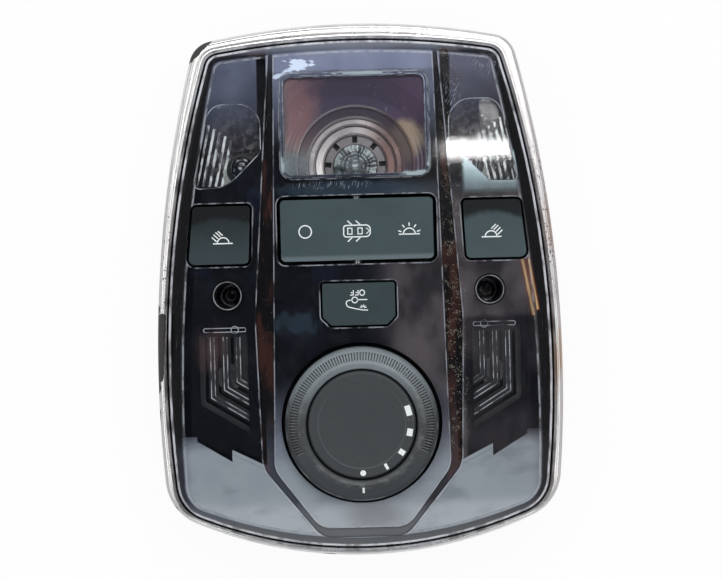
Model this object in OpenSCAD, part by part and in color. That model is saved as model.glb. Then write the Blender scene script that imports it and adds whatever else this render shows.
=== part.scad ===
// Roof console lamp of a car: a smoked front panel in a chrome trim, over a dome lamp,
// two reading lamps, four switches and a rotary dial. Millimetres.
// It lies on its back. +Z comes out of the front face, +Y points to its narrow end,
// and the origin is on the back face, at the middle of the length and the width.

/* [Outline] */
// Length over the chrome trim
body_len = 190; // [184:1:198]
// Width over the chrome trim at the widest place
body_w = 144.8; // [140:0.2:150]
// How far the widest place lies from the middle, towards the wide end
wide_back = 28.5; // [22:0.5:34]
// Radius of the narrow end's edge
narrow_end_r = 259; // [235:1:300]
// Radius of the wide end's edge
wide_end_r = 149; // [140:1:170]
// Radius of the long sides
side_r = 449; // [420:1:500]
// Radius of the corners at the narrow end
narrow_corner_r = 9.5; // [8:0.5:12]
// Radius of the corners at the wide end
wide_corner_r = 18; // [16:0.5:22]

/* [Chrome trim] */
// Width of the trim at the narrow end
trim_narrow_w = 5.7; // [4.6:0.1:6.4]
// Width of the trim at the wide end
trim_wide_w = 2.7; // [2.3:0.1:3.4]
// Width of the trim at the widest place of the sides
trim_side_w = 3.4; // [3:0.1:4]
// Radius of the trim's inner edge at the narrow end
inner_narrow_r = 300; // [270:1:340]
// Radius of the trim's inner edge at the wide end
inner_wide_r = 152; // [144:1:165]
// Radius of the trim's inner edge along the sides
inner_side_r = 385; // [370:1:410]
// Radius of the trim's inner corners at the narrow end
inner_narrow_corner_r = 5.6; // [5:0.1:8]
// Radius of the trim's inner corners at the wide end
inner_wide_corner_r = 14; // [12:0.5:17]
// Height of the trim's crest over the flange that it stands on
trim_h = 8.4; // [7.6:0.1:9]

/* [Depth] */
// Height of the flange's upper face over the back
flange_z = 27; // [26:0.5:30]
// Thickness of the flange
flange_t = 2.4; // [2:0.1:3]
// Height of the front face over the flange, at its middle
face_rise = 11; // [10.4:0.1:12]
// Radius to which the front face is domed
crown_r = 2000; // [1600:50:3000]

/* [Front panel] */
// Thickness of the smoked panel
panel_t = 2.6; // [2.2:0.1:3]
// Gap between the panel and the chrome trim
trim_gap = 0.6; // [0.4:0.1:0.8]
// Height of the panel's edge over the flange
edge_rise = 6.8; // [6.4:0.1:7.2]
// Slope of the panel's bevelled border, in degrees
bevel_angle = 29; // [26:1:32]
// Depth of the groove round the middle section
groove_depth = 1.5; // [1:0.1:1.8]
// Width of the small step along each cut edge
edge_step_w = 0.45; // [0.3:0.05:0.6]
// Depth of the small step along each cut edge
edge_step_depth = 0.35; // [0.2:0.05:0.5]
// Thickness of the black carrier behind the panel
carrier_t = 1.8; // [1.4:0.1:2]

/* [Dome lamp] */
// Width of the dome lamp's window
dome_w = 52.6; // [48:0.2:54]
// Height of the dome lamp's window
dome_h = 37.4; // [34:0.2:38]
// Middle of the window, over the middle of the length
dome_y = 58.4; // [57.5:0.1:59.5]
// Radius of the window's corners
dome_corner_r = 4; // [3:0.5:6]
// Width of the raised rim round the window
rim_w = 1.2; // [0.9:0.1:1.6]
// Height of the raised rim
rim_h = 0.45; // [0.3:0.05:0.7]
// Middle of the dome lamp's bulb, over the middle of the length
dome_bulb_y = 45; // [44:0.1:46]
// Radius of the dome lamp's bulb
dome_bulb_r = 4.3; // [3.8:0.1:4.6]
// Height of each step of the ringed reflector
ring_step = 1.4; // [1:0.1:1.5]

/* [Reading lamps] */
// Distance of a reading bulb from the middle line
reading_bulb_x = 41; // [40:0.2:42]
// Radius of a reading bulb
reading_bulb_r = 4.2; // [3.8:0.1:4.6]
// Radius of the reading lamp's bowl
bowl_r = 26; // [24:0.5:30]
// Distance between the ribs of the reading lens
rib_pitch = 2.25; // [2:0.05:2.6]
// Width of a rib
rib_w = 0.9; // [0.6:0.1:1.2]
// Number of ribs
rib_count = 5; // [4:1:6]

/* [Keys] */
// Gap round the map light keys
map_gap = 0.9; // [0.6:0.1:1.2]
// Travel of the map light keys
map_travel = 1.2; // [0.8:0.1:1.5]
// Width of the three-way rocker
rocker_w = 54; // [50:0.5:54]
// Height of the three-way rocker
rocker_h = 21.7; // [20:0.1:22]
// Middle of the rocker, over the middle of the length
rocker_y = 21.15; // [20.8:0.05:21.4]
// Gap round the rocker
rocker_gap = 1.3; // [1.1:0.1:1.5]
// Radius of the rocker's axle
axle_r = 1.5; // [1.2:0.1:1.7]
// Width of the alarm monitor key
monitor_w = 25.6; // [23:0.2:27]
// Gap round the monitor key
monitor_gap = 0.75; // [0.5:0.05:1]
// Travel of the monitor key
monitor_travel = 1; // [0.6:0.1:1.2]
// Thickness of the walls of the keys
key_wall = 1.3; // [1:0.1:1.6]
// Thickness of the faces of the keys
key_face_t = 1.7; // [1.5:0.1:2]
// Radius of the plungers under the keys
plunger_r = 2; // [1.6:0.1:2.4]
// Width of a map light switch
map_switch_w = 12; // [9:0.5:13]
// Width of the monitor key's switch
monitor_switch_w = 9; // [8:0.5:11]
// Height of the push switches
switch_h = 8.8; // [8:0.1:9.2]

/* [Dial] */
// Middle of the dial, below the middle of the length
dial_back = 47.3; // [46.5:0.1:48]
// Radius of the dial's ring
dial_r = 27; // [25.5:0.1:27.6]
// Gap round the dial's ring
dial_gap = 1.5; // [1.2:0.1:1.8]
// Radius of the centre cap
cap_r = 19; // [18:0.1:19.5]
// Gap between the cap and the ring
cap_gap = 0.4; // [0.3:0.05:0.5]
// Height of the ring's crest over the front face
dial_rise = 7.2; // [6:0.1:9]
// Travel of the centre cap
cap_travel = 1.2; // [0.8:0.1:1.4]
// Number of grip flutes in a full turn
flutes_per_turn = 150; // [120:10:160]
// Angle of the ring that carries flutes, in degrees
flute_span = 230; // [180:10:260]
// Width of a flute
flute_w = 0.5; // [0.4:0.05:0.6]
// Radius of the fixed post that the ring turns on
post_r = 8; // [7:0.5:9]
// Radius of the cap's stem
stem_r = 5.5; // [4.5:0.1:6]

/* [Screws] */
// Distance of a screw from the middle line
screw_x = 46.5; // [45.5:0.1:47.5]
// Radius of a screw's shank
screw_r = 1.95; // [1.6:0.05:2.1]
// Radius of a screw's neck, inside its collar
screw_neck_r = 1.5; // [1.2:0.05:1.7]
// Radius of a screw's head
screw_head_r = 3.4; // [3:0.1:3.7]
// Radius of a screw well's mouth
well_r = 4.4; // [4.2:0.1:4.8]
// Length of the screw's shank below its tower
screw_free_len = 12; // [9:0.5:12.5]

/* [Louvres] */
// Distance between the louvre bars
louvre_pitch = 4.6; // [4.2:0.1:5]
// Width of a louvre bar
louvre_w = 1.7; // [1.2:0.1:2]
// Number of louvre bars
louvre_count = 3; // [2:1:3]
// Slope of the louvres' lower legs, in degrees
louvre_angle = 31.3; // [28:0.1:34]

/* [Housing] */
// Thickness of the housing's walls
wall = 2; // [1.6:0.1:2.4]
// How far the housing's walls stand in from the trim's outer edge
tub_inset = 5; // [4.6:0.1:5.2]
// Height of the circuit board over the back
board_z = 13; // [12.5:0.1:13.5]
// Thickness of the circuit board
board_t = 1.6; // [1.2:0.1:2]
// Width of the connector
connector_w = 30; // [24:1:34]
// Height of the connector
connector_h = 13; // [12:0.5:15]
// Thickness of the connector's walls
connector_wall = 1.4; // [1:0.1:1.8]
// Thickness of the spring clips' steel
clip_t = 0.8; // [0.6:0.1:1]
// Width of a spring clip
clip_w = 9; // [7:0.5:12]

/* [Fits] */
// Radial clearance of everything that turns or slides
running_fit = 0.05; // [0.03:0.01:0.08]
// Gap between pieces that only lie against each other
seat_gap = 0.3; // [0.2:0.05:0.4]

/* [Hidden] */

$fn = 96;
eps = 0.01;
// The layout is drawn for this width and length, and follows the unit's own
drawn = [144.8, 190];
wide = body_w / drawn[0];
long = body_len / drawn[1];
face_z = flange_z + face_rise;
edge_z = flange_z + edge_rise;
slope = tan(bevel_angle);
bevel_reach = 9;
edge_round = 0.4;
skirt_t = 1.8;
flange_inset = 1.2;
carrier_drop = panel_t + seat_gap;
well_flare = 1.6;
carrier_inset = trim_gap + skirt_t + seat_gap;
board_top = board_z + board_t;
axle_z = flange_z + 3;
dial_y = -dial_back * long;
dial_top = face_z + dial_rise;
chimney_z = flange_z + seat_gap;
chimney_wall = 1.4;
window_ledge = 1.2;
tray_top = flange_z + 4.7;
bulb_seat = 1.3;
bulb_h = 12.1;
bulb_neck = 1.5;
reflector_t = 1.3;
reflector_z = board_top + 3.8;
ring_radii = [11.8, 15, 17.5, 21.3];
ring_tread = 0.6;
dish_reach = 44;
slot_r = 10;
slot_size = [2.4, 1.9];

// Heights of the parts under the keys
switch_floor = 1.7;
foot_gap = 0.4;
map_foot = board_top + switch_floor + map_travel + foot_gap;
monitor_foot = board_top + switch_floor + monitor_travel + foot_gap;
plunger_head = face_z - 4;
plunger_flange = 2;
key_foot = flange_z + 3;
rocker_top = key_top([0, rocker_y * long]);
rocker_switch_h = 6.4;
blade_w = 2.2;
slot_floor = board_top + 1.4;

// Heights and radii of the dial's ring and of the switch that carries it
web_z = flange_z + 5.6;
web_t = 2.2;
hub_foot = board_top + 5.5;
post_top = axle_z + 2;
base_reach = 8;
base_h = 5.2;
stem_foot = board_top + 4.2;
flute_in = 22.3;
flute_out = 25.2;
flute_tilt = 17;
flute_depth = 0.95;

// Outline values: ends, widest place and the radii of its arcs and corners
trim_outer = [body_len / 2, -body_len / 2, body_w / 2, -wide_back,
              narrow_end_r, wide_end_r, side_r, narrow_corner_r, wide_corner_r];
trim_inner = [body_len / 2 - trim_narrow_w, -body_len / 2 + trim_wide_w,
              body_w / 2 - trim_side_w, -wide_back,
              inner_narrow_r, inner_wide_r, inner_side_r,
              inner_narrow_corner_r, inner_wide_corner_r];

// Corners of the openings on the right side, listed anticlockwise
map_corners = laid([[38.7, 10], [60, 10], [58, 30.5], [37.7, 30.5]]);
map_radii = [1.6, 2.2, 1.6, 1.2];
map_centre = [48.6 * wide, 20.2 * long];
rocker_mid = rocker_y * long;
rocker_size = [rocker_w * wide, rocker_h * long];
rocker_corners = box_corners([0, rocker_mid], rocker_size[0], rocker_size[1]);
rocker_radii = [1.6, 1.6, 1.6, 1.6];
monitor_top = 2.2 * long;
monitor_bottom = -12.7 * long;
monitor_cut = 3;
monitor_corners = [[-monitor_w / 2 + monitor_cut, monitor_bottom],
                   [monitor_w / 2 - monitor_cut, monitor_bottom],
                   [monitor_w / 2, monitor_bottom + monitor_cut],
                   [monitor_w / 2, monitor_top],
                   [-monitor_w / 2, monitor_top],
                   [-monitor_w / 2, monitor_bottom + monitor_cut]];
monitor_radii = [1, 1, 1, 0.7, 0.7, 1];
monitor_centre = [0, (monitor_top + monitor_bottom) / 2];
dome_mid = dome_y * long;
dome_size = [dome_w * wide, dome_h * long];
dome_corners = box_corners([0, dome_mid], dome_size[0], dome_size[1]);
dome_radii = [for (k = [0 : 3]) dome_corner_r];
// The dome lamp's tray reaches below its window, to hold the bulb
tray_drop = 4.1;
tray_corners = box_corners([0, dome_mid - tray_drop / 2], dome_size[0],
                           dome_size[1] + tray_drop);
dome_bulb_at = dome_bulb_y * long;
reading_corners = laid([[46, 37.4], [58.2, 36.9], [51.6, 67], [33.6, 67], [33.6, 49.6]]);
reading_radii = [13, 2.2, 6, 8, 3];
// The reading lamp's bowl is wider than its window, to hold the bulb
bowl_corners = laid([[37.2, 35.6], [57.4, 35.2], [51, 67.4], [33, 67.4], [33, 40]]);
bowl_radii = [3, 2.2, 6, 6, 3];
bowl_wall = 1.1;
bowl_centre = [44.5 * wide, 51.5 * long];
bowl_floor = board_top + 3.4;
reading_bulb = [reading_bulb_x * wide, dome_bulb_at];
reading_foot = board_top + 1;
lens_in_x = 45 * wide;
lens_t = 1.1;
lens_z = tray_top - 1.9;
lens_margin = 0.8;
rib_z = tray_top - 1.4;
rib_h = 2.6;
rib_len = 22.5 * long;
rib_taper = 1.4;
louvre_out_x = 56.5 * wide;
louvre_in_x = 40 * wide;
louvre_top_y = -16 * long;
louvre_corner_y = -39.5 * long;
louvre_plate_t = 1;
louvre_bar_h = 1.5;
louvre_margin = 3;
louvre_border = 1.2;
microphone_at = [48 * wide, -31 * long];
microphone_r = 4.8;
microphone_h = 5.4;
louvre_window = [[louvre_in_x, louvre_leg_y(louvre_out_x + 1, louvre_in_x)],
                 [louvre_out_x + 1, louvre_bend_y(louvre_out_x + 1)],
                 [louvre_out_x + 1, louvre_top_y + 2],
                 [louvre_in_x, louvre_top_y + 2]];
louvre_window_radii = [0.6, 2, 1, 0.6];

// The groove's inner and outer edges, from the narrow end round the wide end and back
groove_inner_half = laid([[28.2, 95], [31.4, -63.5], [15.5, -84.6]]);
groove_outer_half = laid([[29.2, 95], [36.6, -10], [35.2, -63], [15, -88]]);
groove_inner_radii = [2, 9, 8];
groove_outer_radii = [2, 60, 9, 8];
// Notched edge of the wiring pod, seen through the smoked panel
pod_edge = laid([[60, -50.5], [58.5, -52.5], [47, -59.5], [45.5, -56], [37.5, -60]]);
pod_edge_w = 0.8;
pod_edge_depth = 0.7;

screw_y = -1.2 * long;
screw_place = screw_x * wide;
tower_z = 15;
tower_h = 4;
tower_r = 5.8;
collar_t = 1;
collar_seat = 0.6;
notch_x = 36 * wide;
notch_half = 11;
post_places = laid([[26, 80], [50, -68], [27, -5]]);
post_foot_r = 3;
post_pin_r = 1.2;
connector_y = 32 * long;
connector_z = 1;
pin_w = 0.7;
pin_pitch = 2.5;
pin_rows = [-1.8, 1.8];
pin_z = 6.2;
pin_floor = board_z - 1.4;
clip_places = [42 * long, -62 * long];
well_tube_r = 5.3;
hub_wall = 2.4;
bulb_base_h = 4.6;

// Places drawn for the drawn width and length, moved to the unit's own
function laid(points) = [for (p = points) [p[0] * wide, p[1] * long]];

// A rectangle's corners, anticlockwise
function box_corners(c, w, h) =
    [c + [-w, -h] / 2, c + [w, -h] / 2, c + [w, h] / 2, c + [-w, h] / 2];

function unit(v) = v / norm(v);

// An angle brought into the half turn to each side of zero
function near_turn(a) = a - 360 * floor((a + 180) / 360);

// Points on the arc that rounds corner p between its neighbours a and b
function corner_arc(a, p, b, r, steps) =
    let (u = unit(a - p), v = unit(b - p), half = acos(u * v) / 2,
         c = p + unit(u + v) * r / sin(half),
         t1 = p + u * r / tan(half) - c,
         t2 = p + v * r / tan(half) - c,
         start = atan2(t1[1], t1[0]),
         sweep = near_turn(atan2(t2[1], t2[0]) - start))
    [for (k = [0 : steps])
        c + r * [cos(start + sweep * k / steps), sin(start + sweep * k / steps)]];

// A closed outline with every corner rounded to its own radius
function rounded(p, r, steps = 5) =
    let (m = len(p))
    [for (i = [0 : m - 1])
        each corner_arc(p[(i + m - 1) % m], p[i], p[(i + 1) % m], r[i], steps)];

// Corners of a convex outline moved out by d
function grown(p, d) =
    let (m = len(p))
    [for (i = [0 : m - 1])
        let (u = unit(p[(i + m - 1) % m] - p[i]), v = unit(p[(i + 1) % m] - p[i]),
             half = acos(u * v) / 2)
        p[i] - unit(u + v) * d / sin(half)];

function more(r, d) = [for (x = r) max(x + d, 0.2)];

// Where two circles meet, on the side that the sign picks
function meet(c1, r1, c2, r2, side) =
    let (v = c2 - c1, d = norm(v), e = v / d, a = (r1 * r1 - r2 * r2 + d * d) / (2 * d),
         h = sqrt(r1 * r1 - a * a))
    c1 + a * e + side * h * [-e[1], e[0]];

function arc(c, r, a0, a1, steps) =
    [for (k = [0 : steps]) let (a = a0 + (a1 - a0) * k / steps) c + r * [cos(a), sin(a)]];

function angle_of(v) = atan2(v[1], v[0]);

// The unit's outline, made of four large arcs with rounded corners, moved in by d
function oval(s, d = 0) =
    let (tc = [0, s[0] - s[4]], tr = s[4] - d,
         bc = [0, s[1] + s[5]], br = s[5] - d,
         sc = [s[2] - s[6], s[3]], sr = s[6] - d,
         rt = max(s[7] - d, 1), rb = max(s[8] - d, 1),
         ct = meet(tc, tr - rt, sc, sr - rt, -1),
         cb = meet(bc, br - rb, sc, sr - rb, 1),
         at = angle_of(ct - tc), ast = angle_of(ct - sc),
         ab = angle_of(cb - bc), asb = angle_of(cb - sc),
         half = concat(arc(bc, br, -90, ab, 8),
                       arc(cb, rb, ab, asb, 6),
                       arc(sc, sr, asb, ast, 12),
                       arc(ct, rt, ast, at, 5),
                       arc(tc, tr, at, 90, 7)),
         tidy = [for (i = [0 : len(half) - 1])
                    if (i == 0 || norm(half[i] - half[max(i - 1, 0)]) > eps) half[i]])
    concat(tidy, [for (i = [len(tidy) - 2 : -1 : 1]) [-tidy[i][0], tidy[i][1]]]);

// X of the right side of an outline moved in by d, at height y
function side_x(s, d, y) = s[2] - s[6] + sqrt(pow(s[6] - d, 2) - pow(y - s[3], 2));

// A symmetric outline from the points and radii of its right half
function mirrored(half) =
    concat(half, [for (i = [len(half) - 1 : -1 : 0]) [-half[i][0], half[i][1]]]);

function both(r) = concat(r, [for (i = [len(r) - 1 : -1 : 0]) r[i]]);

// A strip of width w along a path
function strip(p, w) =
    let (m = len(p) - 1,
         n = [for (i = [0 : m])
                 let (d = unit(p[min(i + 1, m)] - p[max(i - 1, 0)])) [-d[1], d[0]] * w / 2])
    concat([for (i = [0 : m]) p[i] + n[i]], [for (i = [m : -1 : 0]) p[i] - n[i]]);

// Height of the bend of a louvre edge at x, and of its lower leg at x2
function louvre_bend_y(x) = louvre_corner_y + (louvre_out_x - x) * tan(louvre_angle);
function louvre_leg_y(x, x2) = louvre_bend_y(x) - (x - x2) * tan(louvre_angle);

// An upright leg that bends into a slanting one, between x values a and b
function louvre_outline(a, b) =
    [[a, louvre_top_y], [a, louvre_bend_y(a)], [louvre_in_x, louvre_leg_y(a, louvre_in_x)],
     [louvre_in_x, louvre_leg_y(b, louvre_in_x)], [b, louvre_bend_y(b)], [b, louvre_top_y]];

// Everything under the domed surface that passes z at the middle
module crown(z) {
    translate([0, 0, z - crown_r])
        rotate([90, 0, 0])
            sphere(r = crown_r, $fn = 384);
}

module prism(points, z0, z1) {
    translate([0, 0, z0])
        linear_extrude(z1 - z0)
            polygon(points);
}

module left(on) {
    if (on)
        mirror([1, 0, 0]) children();
    else
        children();
}

module each_side() {
    for (side = [false, true])
        left(side) children();
}

// The bevelled block whose top the dome cuts, moved in by d and lowered by drop
module bevelled(d, drop, z0) {
    hull() {
        prism(oval(trim_inner, d), z0, edge_z - drop - edge_round);
        prism(oval(trim_inner, d + edge_round), z0, edge_z - drop);
        prism(oval(trim_inner, d + edge_round + bevel_reach), z0,
              edge_z - drop + bevel_reach * slope);
    }
}

module skin(d, drop, z0) {
    intersection() {
        bevelled(d, drop, z0);
        crown(face_z - drop);
    }
}

// The space left under the carrier's bevelled border
module under_carrier() {
    bevelled(carrier_inset + carrier_t + seat_gap, carrier_drop + carrier_t + seat_gap, 0);
}

// A cut through the front, with a small step round its edge
module stepped_cut(corners, radii, gap) {
    prism(rounded(grown(corners, gap), more(radii, gap)), flange_z - 1, face_z + 1);
    difference() {
        prism(rounded(grown(corners, gap + edge_step_w), more(radii, gap + edge_step_w)),
              flange_z, face_z + 1);
        crown(face_z - edge_step_depth);
    }
}

// The groove that runs down both sides of the middle section and round the wide end
module groove_ring(d) {
    inner = [for (p = groove_inner_half) [p[0] - d, p[1] + d * (p[1] < 0 ? 1 : -1)]];
    outer = [for (p = groove_outer_half) [p[0] + d, p[1] - d * (p[1] < 0 ? 1 : -1)]];
    linear_extrude(face_z + 1)
        difference() {
            polygon(rounded(mirrored(outer), both(groove_outer_radii)));
            polygon(rounded(mirrored(inner), both(groove_inner_radii)));
        }
}

module groove_cut() {
    difference() {
        groove_ring(0);
        crown(face_z - groove_depth);
    }
    difference() {
        groove_ring(edge_step_w);
        crown(face_z - edge_step_depth);
    }
}

// A tube wall round an opening, up to the front face
module chimney(corners, radii, gap) {
    prism(rounded(grown(corners, gap + chimney_wall), more(radii, gap + chimney_wall)),
          chimney_z, face_z);
}

module plain_cut(corners, radii, gap) {
    prism(rounded(grown(corners, gap), more(radii, gap)), flange_z - 1, face_z + 1);
}

module rear_housing() {
    color([0.10, 0.10, 0.11]) {
        difference() {
            union() {
                prism(oval(trim_outer, tub_inset), 0, flange_z - flange_t);
                prism(oval(trim_outer, flange_inset), flange_z - flange_t, flange_z);
            }
            difference() {
                prism(oval(trim_outer, tub_inset + wall), wall, flange_z + 1);
                each_side() notch(wall);
            }
            each_side() notch(0);
            each_side() screw_bore();
            translate([0, connector_y, 0])
                cube([connector_w + 2 * seat_gap, connector_h + 2 * seat_gap, 3 * wall],
                     center = true);
        }
        each_side()
            for (p = post_places)
                translate([p[0], p[1], wall]) {
                    cylinder(r = post_foot_r, h = board_z - wall, $fn = 32);
                    cylinder(r = post_pin_r, h = board_top + 1 - wall, $fn = 32);
                }
        each_side() difference() {
            translate([screw_place, screw_y, tower_z + wall])
                cylinder(r = tower_r, h = tower_h - wall);
            screw_bore();
        }
    }
}

// The space beside a screw tower, open to the back and the side
module notch(w) {
    translate([notch_x - w, screw_y - notch_half - w, -1])
        cube([body_w / 2, 2 * (notch_half + w), tower_z + w + 1]);
}

module screw_bore() {
    translate([screw_place, screw_y, tower_z - 1])
        cylinder(r = screw_r + running_fit + collar_t, h = tower_h + wall);
}

module chrome_trim() {
    color([0.80, 0.79, 0.77])
        difference() {
            hull() {
                prism(oval(trim_outer), flange_z, flange_z + trim_h * 0.45);
                prism(oval(trim_outer, 0.5), flange_z, flange_z + trim_h * 0.75);
                prism(oval(trim_outer, 1.1), flange_z, flange_z + trim_h * 0.9);
                prism(oval(trim_outer, 1.9), flange_z, flange_z + trim_h);
            }
            prism(oval(trim_inner), flange_z - 1, flange_z + trim_h + 1);
            hull() {
                prism(oval(trim_inner, -0.1), flange_z + trim_h * 0.75, flange_z + trim_h + 1);
                prism(oval(trim_inner, -0.7), flange_z + trim_h * 0.97, flange_z + trim_h + 1);
            }
        }
}

module front_panel() {
    color([0.07, 0.07, 0.10, 0.75])
        difference() {
            skin(trim_gap, 0, flange_z);
            skin(trim_gap + skirt_t, panel_t, flange_z - 1);
            stepped_cut(dome_corners, dome_radii, running_fit * 3);
            stepped_cut(rocker_corners, rocker_radii, rocker_gap);
            stepped_cut(monitor_corners, monitor_radii, monitor_gap);
            each_side() {
                stepped_cut(map_corners, map_radii, map_gap);
                translate([screw_place, screw_y, flange_z - 1])
                    cylinder(r = well_r, h = face_rise + 2);
                translate([screw_place, screw_y, face_z - well_flare])
                    cylinder(r1 = well_r - 0.2, r2 = well_r - 0.2 + well_flare, h = well_flare);
            }
            translate([0, dial_y, flange_z - 1])
                cylinder(r = dial_r + dial_gap, h = face_rise + 2);
            groove_cut();
        }
}

module lamp_carrier() {
    color([0.03, 0.03, 0.035])
        difference() {
            union() {
                difference() {
                    skin(carrier_inset, carrier_drop, flange_z);
                    skin(carrier_inset + carrier_t, carrier_drop + carrier_t, flange_z - 1);
                }
                intersection() {
                    skin(carrier_inset + carrier_t / 3, carrier_drop + carrier_t / 3, chimney_z);
                    union() {
                        chimney(rocker_corners, rocker_radii, rocker_gap);
                        chimney(monitor_corners, monitor_radii, monitor_gap);
                        each_side() chimney(map_corners, map_radii, map_gap);
                        dial_well(dial_r + dial_gap + chimney_wall, axle_z);
                    }
                }
                each_side()
                    screw_well(well_tube_r, tower_z + tower_h + running_fit * 2,
                               face_z - carrier_drop - carrier_t / 2);
            }
            plain_cut(rocker_corners, rocker_radii, rocker_gap);
            plain_cut(monitor_corners, monitor_radii, monitor_gap);
            plain_cut(dome_corners, dome_radii, -window_ledge);
            each_side() {
                plain_cut(map_corners, map_radii, map_gap);
                plain_cut(reading_corners, reading_radii, 0);
                plain_cut(louvre_window, louvre_window_radii, 0);
                screw_well(well_r - 0.2, tower_z, face_z + 1);
                difference() {
                    prism(strip(pod_edge, pod_edge_w), flange_z + 1, face_z + 1);
                    crown(face_z - carrier_drop - pod_edge_depth);
                }
            }
            dial_well(dial_r + dial_gap - 0.1, axle_z + chimney_wall);
            dial_well(post_r + running_fit + hub_wall + 0.5, flange_z);
            axle_bar(axle_r + running_fit / 2,
                     rocker_size[1] + 2 * (rocker_gap + chimney_wall + 1));
        }
}

module screw_well(r, z0, z1) {
    translate([screw_place, screw_y, z0])
        cylinder(r = r, h = z1 - z0);
}

// A round block at the dial, from z0 up through the front face
module dial_well(r, z0) {
    translate([0, dial_y, z0])
        cylinder(r = r, h = face_rise + 1);
}

module axle_bar(r, l) {
    translate([0, rocker_mid + l / 2, axle_z])
        rotate([90, 0, 0])
            cylinder(r = r, h = l, $fn = 48);
}

module dome_lens() {
    color([0.30, 0.27, 0.30, 0.6])
        difference() {
            intersection() {
                prism(rounded(dome_corners, dome_radii), flange_z, face_z + 2);
                crown(face_z + rim_h);
            }
            crown(face_z - panel_t);
            difference() {
                prism(rounded(grown(dome_corners, -rim_w), more(dome_radii, -rim_w)),
                      flange_z, face_z + 3);
                crown(face_z - 0.1);
            }
        }
}

// The stepped upper line of the dome reflector, from its lamp hole outwards
function ringed_line() =
    concat([[dome_bulb_r + 3.9, reflector_z]],
           [for (k = [0 : len(ring_radii) - 1])
               each [[ring_radii[k], reflector_z + k * (ring_step + ring_tread)],
                     [ring_radii[k] + 0.3,
                      reflector_z + k * (ring_step + ring_tread) + ring_step]]],
           [for (k = [1 : 6])
               let (t = k / 6, z0 = reflector_z + 3 * (ring_step + ring_tread) + ring_step)
               [ring_radii[3] + (dish_reach - ring_radii[3]) * t,
                z0 + (tray_top - 0.3 - z0) * t * t]]);

module dome_reflector() {
    line = ringed_line();
    under = [for (i = [len(line) - 1 : -1 : 0])
                line[i] + [i == 0 ? 0 : reflector_t * 0.8, -reflector_t]];
    color([0.62, 0.58, 0.58]) {
        intersection() {
            difference() {
                translate([0, dome_bulb_at, 0])
                    rotate_extrude($fn = 128)
                        polygon(concat(line, under));
                for (a = [90, 47, 133, 5, 175])
                    translate([0, dome_bulb_at, 0])
                        rotate([0, 0, a])
                            translate([slot_r, 0, reflector_z])
                                cube([slot_size[0], slot_size[1], 4 * reflector_t], center = true);
            }
            plain_tray(0);
        }
        difference() {
            plain_tray(0);
            plain_tray(-reflector_t);
        }
    }
}

// The box round the dome lamp, under its window
module plain_tray(d) {
    prism(rounded(grown(tray_corners, d), more(dome_radii, d)),
          d < 0 ? 0 : reflector_z - reflector_t, d < 0 ? face_z : tray_top);
}

// A capless bulb: a glass envelope with a domed end
module bulb(r, h) {
    rotate_extrude($fn = 64)
        polygon(concat([[0, 0], [r - bulb_neck / 2, 0], [r, bulb_neck]],
                       arc([0, h - r], r, 0, 90, 10)));
}

module bulb_socket(r, h, bore) {
    difference() {
        cylinder(r = r, h = h, $fn = 64);
        translate([0, 0, bulb_seat - 0.1])
            cylinder(r = bore, h = h, $fn = 64);
    }
}

module dome_bulb() {
    color([0.85, 0.88, 0.90, 0.5])
        translate([0, dome_bulb_at, board_top + bulb_seat])
            bulb(dome_bulb_r, bulb_h);
}

module dome_bulb_holder() {
    color([0.20, 0.20, 0.21])
        translate([0, dome_bulb_at, board_top])
            bulb_socket(dome_bulb_r + 3.5, bulb_base_h + 1, dome_bulb_r + running_fit * 2);
}

module reading_bulb_right() {
    color([0.85, 0.88, 0.90, 0.5])
        translate([reading_bulb[0], reading_bulb[1], board_top + bulb_seat])
            bulb(reading_bulb_r, bulb_h);
}

module reading_bulb_holder_right() {
    color([0.20, 0.20, 0.21])
        translate([reading_bulb[0], reading_bulb[1], board_top])
            bulb_socket(reading_bulb_r + 1.8, bulb_base_h, reading_bulb_r + running_fit * 2);
}

// A bowl mirror cut to the outline of its window, with a wall round it
module reading_reflector_right() {
    color([0.60, 0.60, 0.62])
        difference() {
            intersection() {
                bowl_block(bowl_wall, reading_foot, tray_top);
                under_carrier();
                union() {
                    bowl(bowl_r + reflector_t);
                    difference() {
                        bowl_block(bowl_wall, flange_z - 5, tray_top);
                        bowl_block(0, reading_foot, tray_top + 1);
                    }
                }
            }
            intersection() {
                bowl(bowl_r);
                bowl_block(0, reading_foot, tray_top + 1);
            }
            translate([reading_bulb[0], reading_bulb[1], reading_foot - 1])
                cylinder(r = reading_bulb_r + 2.1, h = 6);
        }
}

module bowl_block(d, z0, z1) {
    prism(rounded(grown(bowl_corners, d), more(bowl_radii, d)), z0, z1);
}

module bowl(r) {
    translate([bowl_centre[0], bowl_centre[1], bowl_floor + bowl_r])
        sphere(r = r, $fn = 128);
}

// The ribbed clear plate over the outer half of a reading lamp
module reading_lens_right() {
    lean = atan2(reading_corners[1][0] - reading_corners[2][0],
                 reading_corners[2][1] - reading_corners[1][1]);
    color([0.75, 0.78, 0.80, 0.5])
        intersection() {
            bowl_block(-running_fit * 2, flange_z, face_z);
            union() {
                translate([lens_in_x, reading_corners[1][1] + lens_margin, lens_z])
                    cube([body_w / 4, body_len / 4, lens_t]);
                for (k = [0 : rib_count - 1])
                    translate([reading_corners[1][0] - lens_margin - rib_w / 2 - k * rib_pitch,
                               reading_corners[1][1], rib_z])
                        rotate([0, 0, lean])
                            translate([-rib_w / 2, lens_margin + 0.2, 0])
                                cube([rib_w, rib_len - rib_taper * k, rib_h]);
            }
        }
}

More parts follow.
